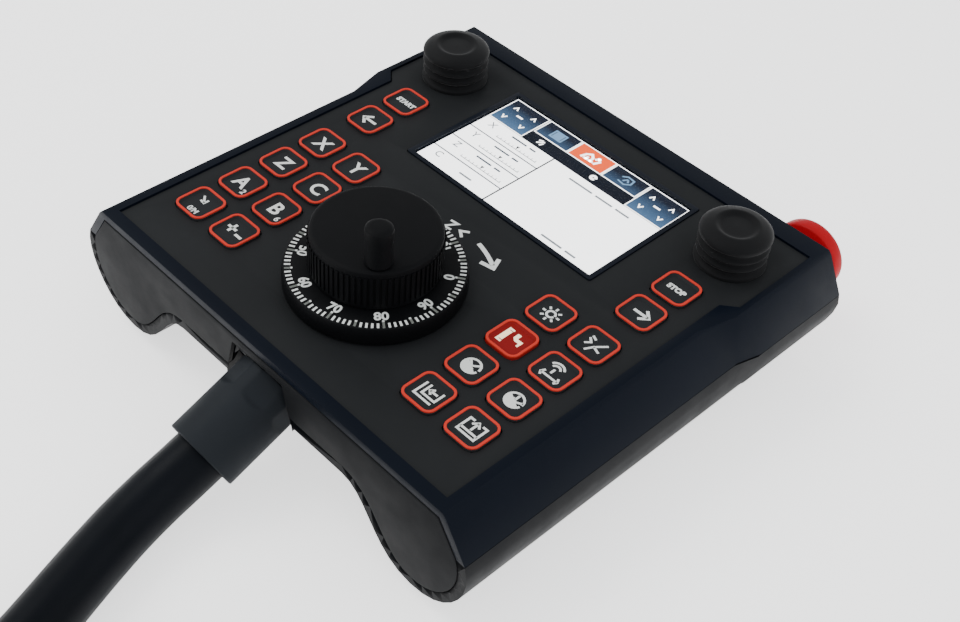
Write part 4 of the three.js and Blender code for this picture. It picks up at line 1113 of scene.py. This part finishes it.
class STATION_OT_handwheel(StationOperator):
    """Makes the handwheel: dial, scale, knob and crank peg"""
    bl_idname = "station.handwheel"
    bl_label = "Handwheel"

    def build(self, scene):
        s = scene.station_wheel
        look = black_plastic()
        rim = in_mm([(4.3, 0.6), (33.6, 0.6), (34.1, 0.9), (34.3, 1.6), (34.3, 5.6), (34.1, 7.2), (33.8, 8.1),
                     (33.3, DIAL_TOP), (26.2, DIAL_TOP), (4.3, DIAL_TOP)])
        dial = turned("dial_disc", rim, look, 128, WHEEL)
        ink = print_ink_with_painted_glow()
        parts = [dial]
        lift = WHEEL + Vector((0, 0, DIAL_TOP * MM))
        for count, inner in ((s.ticks, 30.9), (s.ticks // 5, 30.2), (s.ticks // 10, 29.4)):
            long = s.tick_outer - inner * MM
            parts.append(ring_of(f"scale_lines_{count}", count, s.tick_outer - long / 2,
                                 (long, 0.00085, 0.00008), 0.00002, ink, lift))
        for i in range(10):
            a = math.radians(self.number_angle(i))
            r = 27.5 * MM
            pos = lift + Vector((r * math.cos(a), r * math.sin(a), 0))
            parts.append(letters(f"number_{i}", str(i * 10), s.number_size, ink, pos, 0.00006,
                                 a + math.radians(90), 0.00016))
        placed(merged("handwheel_dial_finished", parts), "handwheel", "handwheel_dial", slot="handwheel")
        self.knob(s, look)
        self.peg(look)

    @staticmethod
    def number_angle(i):
        """Where a number stands round the dial, in degrees; the numbers rise anticlockwise."""
        return 35.0 + 36.0 * i

    def knob(self, s, look):
        grip = in_mm([(0, -16.6), (4, -16.6), (4, 8.75), (24.1, 8.75), (24.4, 9.1), (24.4, 24.4),
                      (24.2, 25.2),
                      (23.5, 25.75), (22.4, 25.9), (0, 25.85)])
        base = turned("knob_body", grip, look, 128, WHEEL)
        ribs = ring_of("grip_ribs", s.ribs, 0.0245, (0.0009, 0.0012, 0.0128), 0.0170, look, WHEEL)
        shaft = in_mm([(0, 25.5), (1.8, 25.5), (1.8, 38.0), (1.4, 38.4), (0, 38.4)])
        pin = turned("peg_pin", shaft, bright_steel(), 24, PEG)
        ob = merged("handwheel_knob_finished", [base, ribs, pin])
        placed(ob, "handwheel", "handwheel_knob", slot="handwheel")

    def peg(self, look):
        profile = in_mm([(2.1, 26.3), (4.9, 26.3), (5.2, 26.7), (5.0, 30), (4.95, 34), (5.15, 38),
                         (5.25, 40.2),
                         (5.0, 41.5), (4.2, 42.2), (3.0, 42.4), (0, 42.4), (0, 39.4), (2.1, 39.4)])
        peg = turned("crank_peg_finished", profile, look, 48, PEG)
        placed(peg, "crank_peg", "crank_peg", slot="handwheel")


class STATION_OT_joysticks(StationOperator):
    """Makes the joystick caps and their bellows"""
    bl_idname = "station.joysticks"
    bl_label = "Joysticks"

    def build(self, scene):
        for side, sign in (("left", -1), ("right", 1)):
            centre = at(sign * 77.1, 135.6)
            self.cap(side, centre)
            self.boot(side, centre)

    def cap(self, side, centre):
        outline = smooth_profile([(12.7, 12.75), (13.9, 12.7), (14.35, 13.4), (14.1, 14.6), (12.4, 15.9),
                                  (9.6, 16.8),
                                  (8.6, 17.0), (7.8, 16.7), (6.6, 15.9), (5.4, 15.75), (0, 15.9)], 2)
        profile = [(0, -15), (3.1, -15), (3.5, -14.6), (3.5, 12.7)] + outline
        cap = turned("cap", in_mm(profile), black_rubber(), 72, centre)
        cross = turned("cross_pin", in_mm([(0, -9.1), (1.5, -9.1), (1.5, 9.1), (0, 9.1)]), bright_steel(), 20,
                       centre + Vector((0, 0, -9)) * MM, Matrix.Rotation(math.radians(90), 4, "X"))
        ob = merged(f"joystick_cap_{side}_finished", [cap, cross])
        placed(ob, f"stick_{side}", f"joystick_cap_{side}", slot="joystick_cap")

    def boot(self, side, centre):
        """The bellows in two pieces, a lower one and an upper one, which meet at a middle height."""
        wave = [(0.3, 14.25), (1.3, 14.3), (1.9, 13.6), (2.9, 12.4), (3.7, 12.3), (4.4, 13.3), (5.0, 13.95),
                (5.7, 13.95),
                (6.3, 13.2), (7.0, 12.35), (7.7, 12.35), (8.3, 13.2), (8.9, 14.1), (9.5, 14.1), (10.2, 13.2),
                (10.9, 12.5), (11.7, 12.5), (12.3, 12.6)]
        fine = smooth_profile([(r, z) for z, r in wave], 2)
        skin, middle = 1.1, 7.1  # wall of the rubber, and the height where the two pieces meet
        half = next(i for i, (r, z) in enumerate(fine) if z > middle)
        for label, part, bodies, span in (
                ("lower", fine[:half + 1], ("housing", f"gimbal_{side}"), (0.3, middle)),
                ("upper", fine[half:], (f"gimbal_{side}", f"stick_{side}"), (middle, 12.3))):
            loop = [(r * MM, z * MM) for r, z in part] + [((r - skin) * MM, z * MM) for r,
                                                          z in reversed(part)]
            ob = turned(f"joystick_boot_{side}_{label}", loop, black_rubber(), 64, centre, smooth=50)
            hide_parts(f"joystick_boot_{side}")
            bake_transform(ob)


class STATION_OT_stop(StationOperator):
    """Makes the emergency stop"""
    bl_idname = "station.stop"
    bl_label = "Emergency stop"

    def build(self, scene):
        centre = at(81, 169, -26.8)
        turn = Matrix.Rotation(math.radians(-90), 4, "X")
        red = finish_of("emergency-stop red", scene.station_finish.stop_red, rough=0.38, grain=1800,
                        depth=0.000012,
                        vary=0.08)
        collar = in_mm([(5.5, -12), (8, -12), (8, 0.3), (11.6, 0.3), (12, 0.7), (12, 8.4), (11.7, 9.3),
                        (11, 9.7),
                    (5.5, 9.7)])
        ob = turned("stop_collar", collar, black_plastic(), 72, centre, turn)
        placed(ob, "housing", "estop_collar", slot="estop_black")
        shaft = in_mm([(0, -16), (4.9, -16), (5.2, -15.7), (5.2, 20.6), (4.9, 20.9), (0, 20.9)])
        ob = turned("stop_plunger", shaft, bright_steel(), 48, centre, turn)
        placed(ob, "estop_plunger", "estop_plunger", slot="joystick_metal")
        head = smooth_profile([(5.5, 14.3), (8, 14.3), (14.6, 17.6), (15.8, 18.3), (15.8, 22.9), (14.9, 24.9),
                               (11.5, 26.8),
                               (7, 27.6), (0, 27.7)], 2)
        profile = in_mm(head + [(0, 21.3), (5.5, 21.3)])
        cap = turned("stop_head", profile, red, 96, centre, turn)
        placed(cap, "estop_head", "estop_mushroom", slot="estop_red")


class STATION_OT_gland(StationOperator):
    """Makes the cable gland: body, clamping nut and seal"""
    bl_idname = "station.gland"
    bl_label = "Cable gland"

    def build(self, scene):
        turn = Matrix.Rotation(math.radians(90 + 23), 4, "X")
        centre = at(0, -31, -24.5)
        flats, round_r = 27.7 / 2 * MM, 14.8 * MM

        def hexagon(r, z, a):
            """Flats near the housing that run out in small arcs."""
            if r < 13.9 * MM:
                return r
            off = (a - math.pi / 2) % (math.pi / 3)
            flat = flats / math.cos(off - math.pi / 6)
            fade = eased(z / MM, 3.6, 6.4)
            return min(r, flat + (round_r - flats) * fade)

        zs = [-6.5, -6.1, -3, 0, 2, 3.6, 4.2, 4.8, 5.4, 6.0, 6.6, 12, 20, 28.4, 29.1]
        outer = [(14.2, -6.5), (14.6, -6.3)] + [(14.8, z) for z in zs[1:]] + [(14.5, 29.4), (14.2, 29.5)]
        profile = in_mm([(13.4, -6.5)] + outer + [(12.2, 29.5), (11.6, 29.0), (11.6, 24.5), (13.4, 24.5)])
        nut = turned("gland_nut_finished", profile, gland_plastic(), 144, centre, turn, smooth=28,
                     scallop=hexagon)
        placed(nut, "housing", "gland_nut", slot="gland")
        refined("gland_body", gland_plastic(), 0.0002, slot="gland", name="gland_body_finished")
        refined("gland_seal", black_rubber(), 0.0002, slot="seal", name="gland_seal_finished")


class STATION_OT_stage(StationOperator):
    """Makes the floor, the lights and the surroundings"""
    bl_idname = "station.stage"
    bl_label = "Stage"

    def build(self, scene):
        bm = bmesh.new()
        bmesh.ops.create_grid(bm, x_segments=8, y_segments=8, size=6)
        look = finish_of("pale floor", (0.86, 0.86, 0.86), rough=0.9, grain=120, depth=0.00005, vary=0.004,
                         spec=0.1)
        shade_node = look.node_tree.nodes["Principled BSDF"]
        shade_node.inputs["Emission Color"].default_value = (0.82, 0.82, 0.82, 1)
        shade_node.inputs["Emission Strength"].default_value = 1.7
        floor = from_bmesh("floor", bm, look, 0)
        world = scene.world or bpy.data.worlds.new("surroundings")
        scene.world = world
        world.use_nodes = True
        back = world.node_tree.nodes.get("Background")
        back.inputs["Color"].default_value = (0.97, 0.985, 1.0, 1)
        back.inputs["Strength"].default_value = 1.0
        for name, place, size, power, tint in (
                ("key_light", (-1.1, -0.5, 1.7), 1.2, 20, (1, 0.99, 0.97)),
                ("fill_light", (1.3, 0.5, 1.2), 1.6, 8, (0.93, 0.96, 1)),
                ("end_light", (-0.2, -1.6, 0.9), 1.2, 5, (1, 1, 1))):
            data = bpy.data.lights.new(name, "AREA")
            data.size = size
            data.energy = power
            data.color = tint
            lamp = linked(name, data)
            lamp.location = place
            lamp.rotation_euler = (Vector((0, 0, 0.04)) - Vector(place)).to_track_quat("-Z", "Y").to_euler()


OPERATORS = [STATION_OT_camera, STATION_OT_cord, STATION_OT_housing, STATION_OT_panel, STATION_OT_keys,
             STATION_OT_display, STATION_OT_boards, STATION_OT_handwheel, STATION_OT_joysticks,
             STATION_OT_stop,
             STATION_OT_gland, STATION_OT_stage]


class STATION_PT_pieces(bpy.types.Panel):
    """Lists the station's pieces and sizes"""
    bl_label = "Control station"
    bl_idname = "STATION_PT_pieces"
    bl_space_type = "VIEW_3D"
    bl_region_type = "UI"
    bl_category = "Station"

    def draw(self, context):
        for group in GROUPS:
            values = getattr(context.scene, group)
            box = self.layout.box()
            for key in values.__annotations__:
                box.prop(values, key)
        for kind in OPERATORS:
            self.layout.operator(kind.bl_idname)


def register():
    for kind in [*GROUPS.values(), *OPERATORS, STATION_PT_pieces]:
        bpy.utils.register_class(kind)
    for name, kind in GROUPS.items():
        setattr(bpy.types.Scene, name, PointerProperty(type=kind))


def unregister():
    for name in GROUPS:
        delattr(bpy.types.Scene, name)
    for kind in reversed([*GROUPS.values(), *OPERATORS, STATION_PT_pieces]):
        bpy.utils.unregister_class(kind)


def main():
    register()
    for kind in OPERATORS:
        family, name = kind.bl_idname.split(".")
        if getattr(getattr(bpy.ops, family), name)() != {"FINISHED"}:
            raise RuntimeError(kind.bl_label + " did not finish")


if __name__ == "__main__":
    main()
